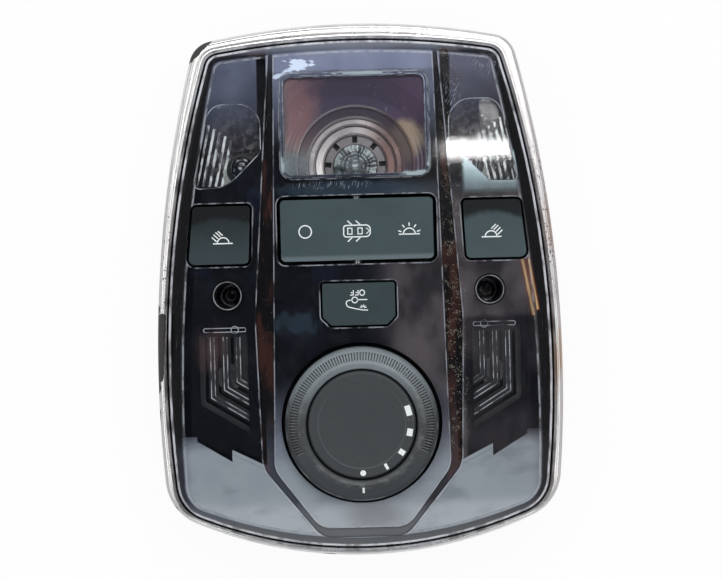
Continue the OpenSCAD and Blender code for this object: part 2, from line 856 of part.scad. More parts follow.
module louvre_right() {
    color([0.22, 0.22, 0.24]) {
        difference() {
            prism(rounded(grown(louvre_window, louvre_border),
                          more(louvre_window_radii, louvre_border)),
                  tray_top - louvre_plate_t, tray_top);
            for (k = [0 : louvre_count - 1])
                prism(louvre_outline(louvre_x(k) + louvre_w, louvre_x(k) + louvre_pitch - louvre_w),
                      flange_z, face_z);
        }
        for (k = [0 : louvre_count - 1])
            prism(louvre_outline(louvre_x(k) - louvre_w / 2, louvre_x(k) + louvre_w / 2),
                  tray_top, tray_top + louvre_bar_h);
    }
}

// Middle line of louvre bar k, counted from the outermost
function louvre_x(k) = louvre_out_x - louvre_w / 2 - louvre_margin - k * louvre_pitch;

module microphone_right() {
    color([0.45, 0.45, 0.46])
        translate([microphone_at[0], microphone_at[1], board_top]) {
            cylinder(r = microphone_r, h = microphone_h, $fn = 48);
            translate([0, 0, microphone_h])
                cylinder(r = microphone_r * 0.75, h = 0.6, $fn = 48);
        }
}

module circuit_board() {
    color([0.05, 0.28, 0.15])
        difference() {
            prism(oval(trim_outer, tub_inset + wall + 1), board_z, board_top);
            each_side() {
                translate([notch_x - wall - 1, screw_y - notch_half - wall - 1, 0])
                    cube([body_w / 2, 2 * (notch_half + wall + 1), flange_z]);
                for (p = post_places)
                    translate([p[0], p[1], board_z - 1])
                        cylinder(r = post_pin_r + running_fit, h = board_t + 2, $fn = 32);
            }
        }
}

// The body of a push switch, bored for its plunger
module switch_body(size) {
    difference() {
        translate([-size / 2, -size / 2, 0])
            cube([size, size, switch_h]);
        translate([0, 0, switch_floor])
            cylinder(r = plunger_r + running_fit, h = switch_h, $fn = 48);
    }
}

// A key's plunger, with a round foot that carries the key's face
module plunger(z0, z1) {
    translate([0, 0, z0])
        cylinder(r = plunger_r, h = z1 - z0, $fn = 48);
    translate([0, 0, z1 - 1])
        cylinder(r = plunger_r + plunger_flange, h = 1, $fn = 48);
}

module map_switch_right() {
    color([0.14, 0.14, 0.15])
        translate([map_centre[0], map_centre[1], board_top])
            switch_body(map_switch_w);
}

module map_plunger_right() {
    color([0.55, 0.55, 0.52])
        translate([map_centre[0], map_centre[1], 0])
            plunger(map_foot, plunger_head);
}

// Height of a key's face, just under the dome at its middle
function key_top(c) = face_z - 0.15 - (c[0] * c[0] + c[1] * c[1]) / (2 * crown_r);

// A key's shell: a flat face, walls, and a boss that stands on its plunger
module key_shell(corners, radii, centre) {
    difference() {
        prism(rounded(corners, radii), key_foot, key_top(centre));
        difference() {
            prism(rounded(grown(corners, -key_wall), more(radii, -key_wall + 0.5)),
                  key_foot - 1, key_top(centre) - key_face_t);
            translate([centre[0], centre[1], plunger_head])
                cylinder(r = plunger_r + plunger_flange + 1, h = face_z - plunger_head,
                         $fn = 48);
        }
    }
}

module map_key_right() {
    dish_r = 130;
    dish_depth = 0.45;
    dish_len = 60;
    color([0.13, 0.15, 0.15])
        difference() {
            key_shell(map_corners, map_radii, map_centre);
            translate([map_centre[0] - dish_len / 2, map_centre[1],
                       key_top(map_centre) - dish_depth + dish_r])
                rotate([0, 90, 0])
                    cylinder(r = dish_r, h = dish_len, $fn = 256);
        }
}

module monitor_switch() {
    color([0.14, 0.14, 0.15])
        translate([monitor_centre[0], monitor_centre[1], board_top])
            switch_body(monitor_switch_w);
}

module monitor_plunger() {
    color([0.55, 0.55, 0.52])
        translate([monitor_centre[0], monitor_centre[1], 0])
            plunger(monitor_foot, plunger_head);
}

module monitor_key() {
    color([0.12, 0.13, 0.14])
        key_shell(monitor_corners, monitor_radii, monitor_centre);
}

module rocker_switch() {
    color([0.14, 0.14, 0.15])
        translate([0, rocker_mid, board_top])
            difference() {
                translate([-map_switch_w, -map_switch_w / 2, 0])
                    cube([2 * map_switch_w, map_switch_w, rocker_switch_h]);
                translate([-1.5 * blade_w, -1.2 * blade_w, slot_floor - board_top])
                    cube([3 * blade_w, 2.4 * blade_w, rocker_switch_h]);
            }
}

// The rocker's shell with its bearing ribs and the blade that works the switch
module mode_rocker() {
    rib = 2.4;
    boss_r = axle_r + 1.7;
    color([0.12, 0.13, 0.14])
        difference() {
            union() {
                difference() {
                    prism(rounded(rocker_corners, rocker_radii), axle_z + 1, rocker_top);
                    prism(rounded(grown(rocker_corners, -key_wall),
                                  more(rocker_radii, -key_wall + 0.5)),
                          axle_z, rocker_top - key_face_t);
                }
                for (k = [-1 : 1])
                    translate([0, rocker_mid + k * (rocker_size[1] / 2 - rib - 1) + rib / 2, axle_z])
                        rotate([90, 0, 0]) {
                            cylinder(r = boss_r, h = rib, $fn = 48);
                            translate([-boss_r, 0, 0])
                                cube([2 * boss_r, rocker_top - key_face_t + 0.5 - axle_z, rib]);
                        }
                translate([-blade_w / 2, rocker_mid - rib / 2, slot_floor + 1])
                    cube([blade_w, rib, axle_z - slot_floor]);
            }
            axle_bar(axle_r + running_fit, rocker_size[1] + 4);
        }
}

module rocker_axle() {
    color([0.70, 0.70, 0.70])
        axle_bar(axle_r, rocker_size[1] + 2 * (rocker_gap + chimney_wall) - 0.4);
}

// The fixed base and hollow post of the rotary switch
module rotary_switch() {
    color([0.16, 0.16, 0.17])
        translate([0, dial_y, board_top])
            difference() {
                union() {
                    cylinder(r = post_r + base_reach, h = base_h);
                    cylinder(r = post_r, h = post_top - board_top);
                }
                translate([0, 0, wall])
                    cylinder(r = stem_r + running_fit, h = flange_z);
            }
}

// Section of the turning ring: hub, web and a rim with a rounded shoulder
module dial_ring() {
    hub_r = post_r + running_fit;
    cup_r = cap_r + cap_gap;
    crest = cup_r + 1.9;
    color([0.13, 0.13, 0.14])
        translate([0, dial_y, 0])
            difference() {
                rotate_extrude($fn = 192)
                    polygon(concat(
                        [[hub_r, hub_foot], [hub_r + hub_wall, hub_foot],
                         [hub_r + hub_wall, web_z], [dial_r - 0.6, web_z], [dial_r, web_z + 0.6]],
                        arc([dial_r - 2.6, dial_top - 3.4], 2.6, 0, 68, 6),
                        arc([crest, dial_top - 1.1], 1.1, 78, 100, 2),
                        arc([cup_r + 0.9, dial_top - 1.3], 0.9, 110, 180, 4),
                        [[cup_r, web_z + web_t], [hub_r, web_z + web_t]]));
                flutes();
            }
}

module flutes() {
    count = floor(flutes_per_turn * flute_span / 360);
    for (k = [0 : count - 1])
        rotate([0, 0, 90 + (k - (count - 1) / 2) * 360 / flutes_per_turn])
            translate([flute_in, 0, dial_top - flute_depth])
                rotate([0, flute_tilt, 0])
                    translate([0, -flute_w / 2, 0])
                        cube([flute_out - flute_in, flute_w, 3]);
}

// The centre cap: a dished face inside a step, with a stem in the post
module dial_cap() {
    face = dial_top - 0.5;
    skirt_foot = web_z + web_t + cap_travel + 0.4;
    dish_edge = cap_r - 4;
    color([0.12, 0.12, 0.13])
        translate([0, dial_y, 0])
            rotate_extrude($fn = 128)
                polygon(concat(
                    [[0, stem_foot], [stem_r, stem_foot], [stem_r, face - 3.4],
                     [cap_r - 2, face - 3.4], [cap_r - 2, skirt_foot], [cap_r, skirt_foot]],
                    arc([cap_r - 1.2, face - 1.2], 1.2, 0, 90, 5),
                    [[dish_edge + 0.5, face], [dish_edge, face - 0.5]],
                    [for (k = [1 : 5]) [dish_edge * (1 - k / 5),
                                        face - 0.5 - 0.7 * (1 - pow(1 - k / 5, 2))]]));
}

module connector_shell() {
    color([0.55, 0.50, 0.40])
        translate([0, connector_y, connector_z])
            difference() {
                translate([-connector_w / 2, -connector_h / 2, 0])
                    cube([connector_w, connector_h, board_z - connector_z]);
                translate([-connector_w / 2 + connector_wall, -connector_h / 2 + connector_wall, -1])
                    cube([connector_w - 2 * connector_wall, connector_h - 2 * connector_wall,
                          pin_floor]);
                translate([-3, connector_h / 2 - 2 * connector_wall, -1])
                    cube([6, 3 * connector_wall, 5]);
            }
}

module connector_pins() {
    columns = floor((connector_w - 6) / pin_pitch);
    color([0.80, 0.65, 0.30])
        for (row = pin_rows, k = [0 : columns - 1])
            translate([(k - (columns - 1) / 2) * pin_pitch - pin_w / 2,
                       connector_y + row - pin_w / 2, pin_z])
                cube([pin_w, pin_w, pin_floor - pin_z]);
}

// A captive screw, with a neck that is thinner than its shank
module screw_right() {
    seat = tower_z + tower_h + collar_seat;
    tip = tower_z - screw_free_len;
    color([0.55, 0.55, 0.57])
        translate([screw_place, screw_y, 0])
            difference() {
                rotate_extrude($fn = 64)
                    polygon([[0, tip], [screw_r * 0.5, tip], [screw_r, tip + 1.2],
                             [screw_r, tower_z - 1], [screw_neck_r, tower_z - 0.5],
                             [screw_neck_r, seat], [screw_head_r, seat],
                             [screw_head_r, seat + 1.3], [screw_head_r - 0.8, seat + 2.2],
                             [0, seat + 2.4]]);
                translate([0, 0, seat + 0.9])
                    cylinder(r = 1.5, h = 3, $fn = 6);
            }
}

module screw_collar_right() {
    color([0.45, 0.45, 0.46])
        translate([screw_place, screw_y, tower_z])
            difference() {
                union() {
                    cylinder(r = screw_r + running_fit + collar_t, h = tower_h, $fn = 64);
                    translate([0, 0, tower_h])
                        cylinder(r = well_r - 0.4, h = collar_seat, $fn = 64);
                }
                translate([0, 0, -1])
                    cylinder(r = screw_r + running_fit, h = tower_h + 3, $fn = 64);
            }
}

// Bent steel clips on the housing's sides, under the flange
module roof_clips() {
    foot = 6;
    knee = foot + 7.5;
    top = flange_z - flange_t;
    reach = tub_inset - 2 * clip_t;
    color([0.70, 0.70, 0.68])
        each_side()
            for (y = clip_places)
                translate([side_x(trim_outer, tub_inset, y), y, 0])
                    rotate([0, 0, asin((y + wide_back) / side_r)])
                        translate([0.1, clip_w / 2, 0])
                            rotate([90, 0, 0])
                                linear_extrude(clip_w)
                                    polygon(concat(
                                        [[0, top], [0, foot]],
                                        [[clip_t * 1.2, foot], [reach, knee],
                                         [reach - 1.4, top - 3],
                                         [reach - 1.4 - clip_t, top - 3.4],
                                         [reach - clip_t * 1.3, knee],
                                         [clip_t, foot + 2.6], [clip_t, top]]));
}

rear_housing();
chrome_trim();
front_panel();
lamp_carrier();
dome_lens();
dome_reflector();
dome_bulb();
dome_bulb_holder();
left(true) reading_lens_right();  // reading_lens_left
reading_lens_right();
left(true) reading_reflector_right();  // reading_reflector_left
reading_reflector_right();
left(true) reading_bulb_right();  // reading_bulb_left
reading_bulb_right();
left(true) reading_bulb_holder_right();  // reading_bulb_holder_left
reading_bulb_holder_right();
left(true) louvre_right();  // louvre_left
louvre_right();
left(true) microphone_right();  // microphone_left
microphone_right();
circuit_board();
left(true) map_switch_right();  // map_switch_left
map_switch_right();
rocker_switch();
monitor_switch();
rotary_switch();
connector_shell();
connector_pins();
rocker_axle();
left(true) screw_right();  // screw_left
screw_right();
left(true) screw_collar_right();  // screw_collar_left
screw_collar_right();
roof_clips();
left(true) map_key_right();  // map_key_left
left(true) map_plunger_right();  // map_plunger_left
map_key_right();
map_plunger_right();
mode_rocker();
monitor_key();
monitor_plunger();
dial_ring();
dial_cap();
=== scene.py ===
"""Roof console lamp of a car, dressed for its picture: worn trim, smoked panel, lamps, keys and dial."""
import math

import bmesh
import bpy
import numpy as np
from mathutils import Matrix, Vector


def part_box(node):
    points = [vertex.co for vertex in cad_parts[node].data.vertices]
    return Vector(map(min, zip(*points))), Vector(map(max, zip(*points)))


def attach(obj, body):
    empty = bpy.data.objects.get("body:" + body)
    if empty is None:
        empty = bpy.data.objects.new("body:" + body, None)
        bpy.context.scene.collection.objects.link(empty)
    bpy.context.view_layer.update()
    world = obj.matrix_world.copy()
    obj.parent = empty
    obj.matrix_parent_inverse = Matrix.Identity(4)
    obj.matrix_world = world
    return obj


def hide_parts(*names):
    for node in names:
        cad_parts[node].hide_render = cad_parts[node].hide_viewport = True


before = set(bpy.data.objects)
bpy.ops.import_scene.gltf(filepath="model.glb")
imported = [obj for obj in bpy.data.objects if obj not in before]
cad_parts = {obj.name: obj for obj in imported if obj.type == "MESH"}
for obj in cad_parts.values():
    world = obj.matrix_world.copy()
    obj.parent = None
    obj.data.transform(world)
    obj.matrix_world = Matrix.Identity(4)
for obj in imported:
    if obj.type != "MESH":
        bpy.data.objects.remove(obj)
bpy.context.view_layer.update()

bl_info = {
    "name": "Roof console lamp",
    "version": (1, 0, 0),
    "blender": (4, 5, 0),
    "location": "3D View > Sidebar > Roof Lamp",
    "description": "Makes the trim, panel, lamps, keys, dial and back of a car's roof console lamp",
    "category": "Object",
}

MM = 0.001
UNIT = "lamp_unit"
SIDES = (("left", -1), ("right", 1))
# Points closer than this, in m, become one: in the pieces made here and in the copies of CAD nodes
MERGE = 1e-7
MERGE_CAD = 2e-6

# Outline of the unit and of the trim's inner edge: ends, widest place, radii of arcs and corners, in mm
OUTER = dict(top=95, bottom=-95, half=72.4, widest=-28.5,
             top_r=259, bottom_r=149, side_r=449, corner_r=9.5, foot_r=18)
INNER = dict(top=89.3, bottom=-92.3, half=69.0, widest=-28.5,
             top_r=300, bottom_r=152, side_r=385, corner_r=5.6, foot_r=14)
# Middles of the face's parts, in mm; those of the pairs are of the right one
DIAL = (0.0, -47.3)
DOME_BULB = (0.0, 45.0)
READING_BULB = (41.0, 45.0)
SCREW = (46.5, -1.2)
# The front is part of a large ball: height of its highest point over the back, and radius, in mm
FACE_HEIGHT = 38.0
FACE_RADIUS = 2000.0
# What the picture shows, in m: width of the trim's plane, its height, and how far the object lies left
VIEW_WIDTH = 0.2593
TRIM_PLANE = 0.030
VIEW_SHIFT = 0.0009


def both(name):
    """Names of the left and the right one of a pair of nodes."""
    return [f"{name}_{side}" for side, _ in SIDES]


def times(colour, share):
    """A colour made darker or paler by a factor."""
    return tuple(c * share for c in colour)


def radius_of(x, y):
    """Length of the direction with these two Values as its parts."""
    return (x * x + y * y).root()


def node_box(node):
    """Lowest and highest corner of a CAD node, in millimetres."""
    low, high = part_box(node)
    return np.array(low) / MM, np.array(high) / MM


class Value:
    """A number that varies over a surface. Sums, products and the like of it add their Math nodes."""

    def __init__(self, nodes, socket):
        self.nodes = nodes
        self.socket = socket

    def maths(self, operation, *given, clamp=False):
        settings = {"operation": operation, "use_clamp": clamp}
        made = self.nodes.node("ShaderNodeMath", settings, dict(enumerate(given)))
        return Value(self.nodes, made.outputs[0])

    def __add__(self, other):
        return self.maths("ADD", self, other)

    __radd__ = __add__

    def __sub__(self, other):
        return self.maths("SUBTRACT", self, other)

    def __rsub__(self, other):
        return self.maths("SUBTRACT", other, self)

    def __mul__(self, other):
        return self.maths("MULTIPLY", self, other)

    __rmul__ = __mul__

    def __truediv__(self, other):
        return self.maths("DIVIDE", self, other)

    def __rtruediv__(self, other):
        return self.maths("DIVIDE", other, self)

    def __pow__(self, other):
        return self.maths("POWER", self, other)

    def __abs__(self):
        return self.maths("ABSOLUTE", self)

    def root(self):
        return self.maths("SQRT", self)

    def least(self, other):
        return self.maths("MINIMUM", self, other)

    def most(self, other):
        return self.maths("MAXIMUM", self, other)

    def sine(self):
        return self.maths("SINE", self)

    def angle(self, across):
        """The angle of a direction, with this as its part along Y and the other along X, in radians."""
        return self.maths("ARCTAN2", self, across)

    def over(self, limit):
        return self.maths("GREATER_THAN", self, limit)

    def kept(self):
        """The value held between 0 and 1."""
        return self.maths("ADD", self, 0.0, clamp=True)

    def rise(self, low, high):
        """0 below low and 1 above high, with a smooth slope between them."""
        sockets = {"Value": self, "From Min": low, "From Max": high}
        made = self.nodes.node("ShaderNodeMapRange", {"interpolation_type": "SMOOTHSTEP"}, sockets)
        return Value(self.nodes, made.outputs[0])

    def fall(self, low, high):
        """1 below low and 0 above high."""
        return 1 - self.rise(low, high)

    def band(self, low, high, soft):
        """1 between low and high, with soft shoulders."""
        return self.rise(low - soft, low + soft) * self.fall(high - soft, high + soft)


class Nodes:
    """The emptied node tree of a material or a world."""

    def __init__(self, owner):
        owner.use_nodes = True
        self.tree = owner.node_tree
        self.tree.nodes.clear()

    def node(self, kind, settings=None, sockets=None):
        """A node of this kind: its settings first, then the values or links of its sockets."""
        made = self.tree.nodes.new(kind)
        for name, setting in (settings or {}).items():
            setattr(made, name, setting)
        for key, given in (sockets or {}).items():
            if isinstance(given, Value):
                given = given.socket
            if isinstance(given, bpy.types.NodeSocket):
                self.tree.links.new(given, made.inputs[key])
            else:
                made.inputs[key].default_value = given
        return made

    def colour(self, given):
        """A colour socket as it is, or three numbers with the fourth that Blender asks for."""
        return given if isinstance(given, bpy.types.NodeSocket) else (*given, 1.0)

    def blend(self, factor, first, second):
        """The first colour where the factor is 0 and the second where it is 1."""
        made = self.node("ShaderNodeMix", {"data_type": "RGBA"},
                         {0: factor, 6: self.colour(first), 7: self.colour(second)})
        return made.outputs[2]

    def coats(self, base, *coats):
        """A colour under coats of others, lowest first, each given as its strength and its colour."""
        for strength, colour in coats:
            base = self.blend(strength, base, colour)
        return base


class Finish(Nodes):
    """A procedural material, worked out from the place on the piece in millimetres."""

    def __init__(self, name):
        self.material = bpy.data.materials.new(name)
        super().__init__(self.material)
        place = self.node("ShaderNodeTexCoord")
        scaled = self.node("ShaderNodeVectorMath", {"operation": "SCALE"},
                           {0: place.outputs["Object"], "Scale": 1 / MM})
        self.place = scaled.outputs[0]
        parts = self.node("ShaderNodeSeparateXYZ", {}, {0: self.place})
        self.x, self.y, self.z = (Value(self, parts.outputs[k]) for k in range(3))

    def turned(self, degrees):
        """The place, turned about Z."""
        made = self.node("ShaderNodeVectorRotate", {"rotation_type": "Z_AXIS"},
                         {"Vector": self.place, "Angle": math.radians(degrees)})
        return made.outputs[0]

    def noise(self, size, detail=3.0, stretch=(1, 1, 1), seed=0, place=None):
        """Soft noise with features of this size in mm, longer along stretched axes."""
        scale = tuple(1 / (size * s) for s in stretch)
        moved = self.node("ShaderNodeMapping", {},
                          {"Vector": place or self.place, "Location": (17.3 * seed, 5.1 * seed, 0),
                           "Scale": scale})
        made = self.node("ShaderNodeTexNoise", {},
                         {"Vector": moved.outputs[0], "Scale": 1.0, "Detail": detail})
        return Value(self, made.outputs[0])

    def specks(self, size, share, seed=0):
        """Small round specks, this far apart in mm; share is how much of a cell one takes."""
        moved = self.node("ShaderNodeMapping", {},
                          {"Vector": self.place, "Location": (9.7 * seed, 3.3 * seed, 0),
                           "Scale": (1 / size,) * 3})
        made = self.node("ShaderNodeTexVoronoi", {}, {"Vector": moved.outputs[0], "Scale": 1.0})
        return Value(self, made.outputs[0]).fall(share * 0.6, share)

    def scratches(self, degrees, width, length, amount, seed=0):
        """Thin lines at an angle to X: stretched noise, kept where it is highest."""
        lines = self.noise(width, 1.0, (length, 1, 1), seed, self.turned(-degrees))
        return lines.rise(1 - amount, 1 - amount + 0.03)

    def ellipse(self, x, y, width, height):
        """Distance from a middle point: 0 there and 1 on an ellipse with these half sizes."""
        return radius_of((self.x - x) / width, (self.y - y) / height)

    def segment(self, x0, y0, x1, y1):
        """Distance in mm from the straight line between two points."""
        dx, dy = x1 - x0, y1 - y0
        share = (((self.x - x0) * dx + (self.y - y0) * dy) / (dx * dx + dy * dy)).kept()
        return radius_of(self.x - x0 - share * dx, self.y - y0 - share * dy)

    def rounded_box(self, x, y, width, height, radius):
        """Distance in mm from the edge of a box with rounded corners: below 0 inside it."""
        across = abs(self.x - x) - (width / 2 - radius)
        along = abs(self.y - y) - (height / 2 - radius)
        return radius_of(across.most(0.0), along.most(0.0)) + across.most(along).least(0.0) - radius

    def bump(self, height, distance, strength=1.0):
        """A normal from a height of 0 to 1 that stands for this many mm."""
        made = self.node("ShaderNodeBump", {},
                         {"Height": height, "Distance": distance * MM, "Strength": strength})
        return made.outputs[0]

    def done(self, **sockets):
        """Ends the material in one Principled shader with these sockets."""
        named = {name.replace("_", " "): given for name, given in sockets.items()}
        named["Base Color"] = self.colour(named["Base Color"])
        shader = self.node("ShaderNodeBsdfPrincipled", {}, named)
        self.node("ShaderNodeOutputMaterial", {}, {"Surface": shader.outputs[0]})
        return self.material


def moulded_plastic(name, colour, rough=0.5, grain=0.35, grain_depth=0.02, dust=0.12, shine=0.5):
    """Fine-grained moulded plastic with a little dust."""
    f = Finish(name)
    clouds = f.noise(9.0, 4.0, seed=3)
    dusty = (clouds.rise(0.5, 0.75) * dust + f.specks(2.1, 0.10, 5) * 0.5 * dust).kept()
    base = f.blend(clouds, times(colour, 0.85), times(colour, 1.15))
    return f.done(Base_Color=f.blend(dusty, base, (0.30, 0.29, 0.27)),
                  Roughness=(rough - 0.06 + clouds * 0.12).kept(), Specular_IOR_Level=shine,
                  Normal=f.bump(f.noise(grain, 2.0), grain_depth, 0.6))


def chrome_flakes(f):
    """Where the plating has come off: a corner, a long strip on the left, small chips and fields of pits."""
    ragged = (f.noise(2.4, 5.0, seed=1) - 0.5) * 2.6 + (f.noise(0.5, 2.0, seed=9) - 0.5) * 0.9
    flake = (f.segment(-58.6, 84.6, -49.0, 94.0) + ragged * 0.6).fall(2.6, 2.9)
    flake = flake.most((f.segment(-73.4, -5.5, -73.8, -33.5) + ragged * 0.55).fall(2.5, 2.8))
    flake = flake.most((f.segment(-70.0, -8, -71.2, -30) + ragged * 0.3).fall(1.1, 1.3))
    for x, y, width, height in ((-67.6, 45, 0.9, 1.7), (-71.2, 12.5, 0.7, 1.5), (-67.3, -77, 1.1, 1.5),
                                (-13, -94.4, 2.6, 0.8), (-71.9, -43, 0.5, 2.2), (58, -85.5, 0.6, 1.2)):
        flake = flake.most((f.ellipse(x, y, width, height) + ragged * 0.25).fall(0.9, 1.1))
    pits_left = f.specks(1.1, 0.34, 2) * f.noise(2.0, 2.0, seed=4).rise(0.5, 0.56) \
        * f.x.fall(-66, -64) * f.y.band(-40, 30, 4)
    pits_right = f.specks(0.9, 0.40, 7) * f.noise(2.6, 2.0, seed=6).rise(0.44, 0.52) \
        * f.x.rise(61, 63) * f.y.band(-2, 50, 6)
    return flake.most(pits_left).most(pits_right)


def worn_chrome(settings):
    """Bright plating with painted reflections, warm on the left, golden on the right and darker on the flanks
    and towards its foot, darker still at the very foot, dulled by dirt on the right, and flaked off to the
    dark plastic under it.
    """
    f = Finish("worn_chrome")
    flake = chrome_flakes(f)
    bright = 1 - flake
    film = f.noise(5.5, 5.0, (1, 2.5, 1), 8)
    foot = f.z.fall(31.6, 34.2)
    # Painted reflections on the plating: warm ones on the left, golden ones on the right's inner side
    warm_reflection = f.noise(26, 3.0, (1, 1.6, 1), 2).rise(0.38, 0.58) * f.x.fall(-50, -30) * foot
    gold_reflection = f.x.rise(58, 62) * f.y.band(-70, 32, 6) * f.z.band(32.6, 35.3, 0.3)
    gold_reflection = gold_reflection * f.noise(9, 4.0, (1, 3, 1), 5).rise(0.42, 0.6)
    dull = f.x.rise(30, 60) * f.y.rise(-30, 30) * (0.5 + film * 0.6)
    # The flanks' darker, browner colour is a painted reflection
    flank = abs(f.x).rise(58, 66) * f.y.fall(30, 66) * f.z.fall(34.6, 35.3)
    # Over the plating: grey streaks, the painted warm and golden reflections, a painted darker reflection
    # towards the foot, dirt on the right, the flanks' painted reflection, and a darker colour at the very
    # foot
    plating = f.coats(tuple(settings.plating),
                      (film.rise(0.45, 0.75) * 0.35, (0.50, 0.48, 0.47)),
                      (warm_reflection * 0.9, (0.70, 0.44, 0.38)),
                      (gold_reflection, (0.50, 0.27, 0.12)),
                      (foot * (0.2 + film * 0.4), (0.34, 0.33, 0.33)),
                      ((dull * 0.6).kept(), (0.42, 0.38, 0.39)),
                      (flank * (0.45 + film * 0.5), (0.40, 0.34, 0.32)),
                      (f.z.fall(29.5, 31.5) * 0.7, (0.16, 0.155, 0.15)))
    rough_plastic = f.blend(f.noise(0.7, 3.0), (0.012, 0.011, 0.010), (0.05, 0.047, 0.043))
    return f.done(Base_Color=f.blend(bright, rough_plastic, plating),
                  Metallic=bright, Roughness=(0.22 + film * 0.12 + dull * 0.12 + flake * 0.4).kept(),
                  Normal=f.bump(bright + f.noise(0.6, 3.0) * (flake * 0.6 + 0.02), 0.12, 0.8))


def dome_depth(f, settings):
    """How far a point lies under the domed front face, in mm."""
    fall = (f.x * f.x + f.y * f.y) / (2 * settings.crown_radius / MM)
    return settings.face_height / MM - fall - f.z


def pod_line(side):
    """Height of the notched edge of the wiring pod, as it runs outwards: two slopes and a level."""
    near = (side - 45.5) * 0.5 - 56.0
    far = (side - 58.5) * 0.609 - 52.5
    line = near + side.over(46.2) * (far - near)
    return line + side.over(58.5) * (-50.8 - line)


def low_pale_reflection(f, side, clouds, deep, bevel):
    """Strength and colour of the painted pale reflection at the wide end, painted darker on the bevel.
    Outside the grooves it ends at the pod's notched edge; between them it fades out upwards."""
    gap = pod_line(side) - f.y
    outer = side.over(34.0)
    low_outer = gap.rise(0.0, 0.25) * f.y.fall(-58, -47) * (1 - side.rise(58, 68) * 0.5)
    low_inner = f.y.fall(-72, -20) ** 1.3
    strength = ((outer * low_outer + (1 - outer) * low_inner) * (0.86 + clouds * 0.2)).kept()
    smudge = f.ellipse(4, -80.5, 13, 5.5).fall(0.3, 1.2) + f.noise(7, 4.0, (2, 1, 1), 9).rise(0.5, 0.75) * 0.5
    rim_line = gap.band(1.55, 1.85, 0.12) * side.band(34, 46, 0.3)
    colour = f.coats(f.blend(clouds, (0.225, 0.25, 0.275), (0.28, 0.315, 0.345)),
                     ((smudge * 0.8 + rim_line * 0.5).kept(), (0.09, 0.11, 0.12)),
                     (bevel, f.blend(f.y.rise(-10, 10), (0.125, 0.13, 0.125), (0.21, 0.22, 0.26))))
    return (strength * (1 - deep * 0.75)).most(bevel * 0.85), colour


def high_pale_reflection(f, side, clouds, deep):
    """Strength and colour of the painted blue-grey reflection at the narrow end, on both sides of the
    grooves.
    """
    inner_strip, outer_strip = side.fall(30.4, 31.2), side.rise(33.8, 34.6)
    strength = f.y.rise(44, 92) * (inner_strip + outer_strip * 0.75) * (0.45 + clouds * 0.9)
    strength = (strength + inner_strip * f.y.rise(77, 80) * 0.55) * (1 - deep * 0.85)
    colour = f.blend(clouds, (0.10, 0.115, 0.19), (0.26, 0.29, 0.40))
    return strength.kept(), f.blend(f.x.rise(20, 60), colour, (0.12, 0.12, 0.155))


def glare_reflection(f, clouds):
    """Strength of the painted pale reflection under the glare, round the right reading lamp's window."""
    block = f.x.rise(37, 39) * f.y.band(33.5, 48, 1.5) * f.x.fall(56, 60)
    return block * reading_window(f).rise(-0.4, 0.1) * (f.y.rise(34, 44) * 0.4 + 0.55) * (0.6 + clouds * 0.6)


def soft_reflections(f, side, wisps):
    """Strengths of the dim, marbled mist that the panel reflects and of two dark clouds on it."""
    marble = f.noise(17, 5.0, (1, 1.4, 1), 11)
    mist = f.x.rise(-4, 20) * (0.3 + marble.rise(0.35, 0.65) * 0.5) * f.y.fall(30, 44)
    mist = mist.most(marble.rise(0.52, 0.70) * 0.35) * (1 - side.rise(36, 38) * f.y.fall(-12, -9) * 0.55)
    cloud = (f.ellipse(-22, -12, 11, 6) + (wisps - 0.5) * 1.8).fall(0.3, 1.2) * 0.35
    return mist, cloud.most((f.ellipse(0, 35.5, 32, 3.4) + (wisps - 0.5)).fall(0.5, 1.3) * 0.4)


def white_scuff(f):
    """Strength of the ragged white scuff above the dome lamp."""
    ragged = (f.noise(1.6, 6.0, (2.2, 1, 1), 3) - 0.5) * 2.4
    patch = (f.ellipse(-18.5, 80.0, 7.5, 3.4) + ragged).fall(0.40, 0.62)
    return patch.most((f.segment(-27.5, 76.0, -17, 80.5) * 0.6 + ragged).fall(0.35, 0.6) * 0.9)


def panel_dust(f, side):
    """Strength of the dust: thick along the right groove, with a few large specks everywhere."""
    flank = side.band(30.5, 38.5, 1.5) * f.x.rise(0, 1) * f.y.band(-58, 88, 4)
    grime = f.specks(0.55, 0.42, 3) * f.noise(2.6, 4.0, seed=7).rise(0.46, 0.58)
    return (grime * (0.03 + flank * 0.8) + f.specks(2.6, 0.055, 8) * 0.7).kept()


def panel_scratches(f):
    """Strength of the long, faint nicks and of the short marks at the narrow end and over the rocker."""
    nicks = f.scratches(90, 0.14, 60, 0.27, 1) * f.noise(16, 2.0, seed=5).rise(0.5, 0.62) * 0.35
    nicks = nicks + f.scratches(25, 0.12, 45, 0.26, 2) * f.noise(12, 2.0, seed=6).rise(0.52, 0.62) * 0.5
    marked = f.ellipse(48, 79, 6, 6).fall(0.5, 1.2) + f.ellipse(34.5, 68, 5, 8).fall(0.5, 1.2)
    marks = f.scratches(62, 0.22, 16, 0.36, 3) * marked
    marks = marks + f.scratches(75, 0.24, 14, 0.37, 4) * f.ellipse(-8, 37.0, 20, 1.7).fall(0.6, 1.3)
    return (nicks + marks * 0.9).kept()


def golden_reflections(f, wisps):
    """Strength of the two painted golden reflections under the right map key and of the painted brown
    reflection between them.
    """
    fade = (wisps - 0.5) * 0.5
    streaks = (f.segment(58.3, 9.0, 61.8, -10.5) + fade).fall(0.1, 1.5)
    streaks = streaks.most((f.segment(60.6, 9.0, 63.4, -8.5) + fade).fall(0.1, 1.2)) * 0.7
    return streaks.most((f.segment(59.8, 8.5, 62.7, -7.0) + fade).fall(0.5, 1.7) * 0.42).kept()


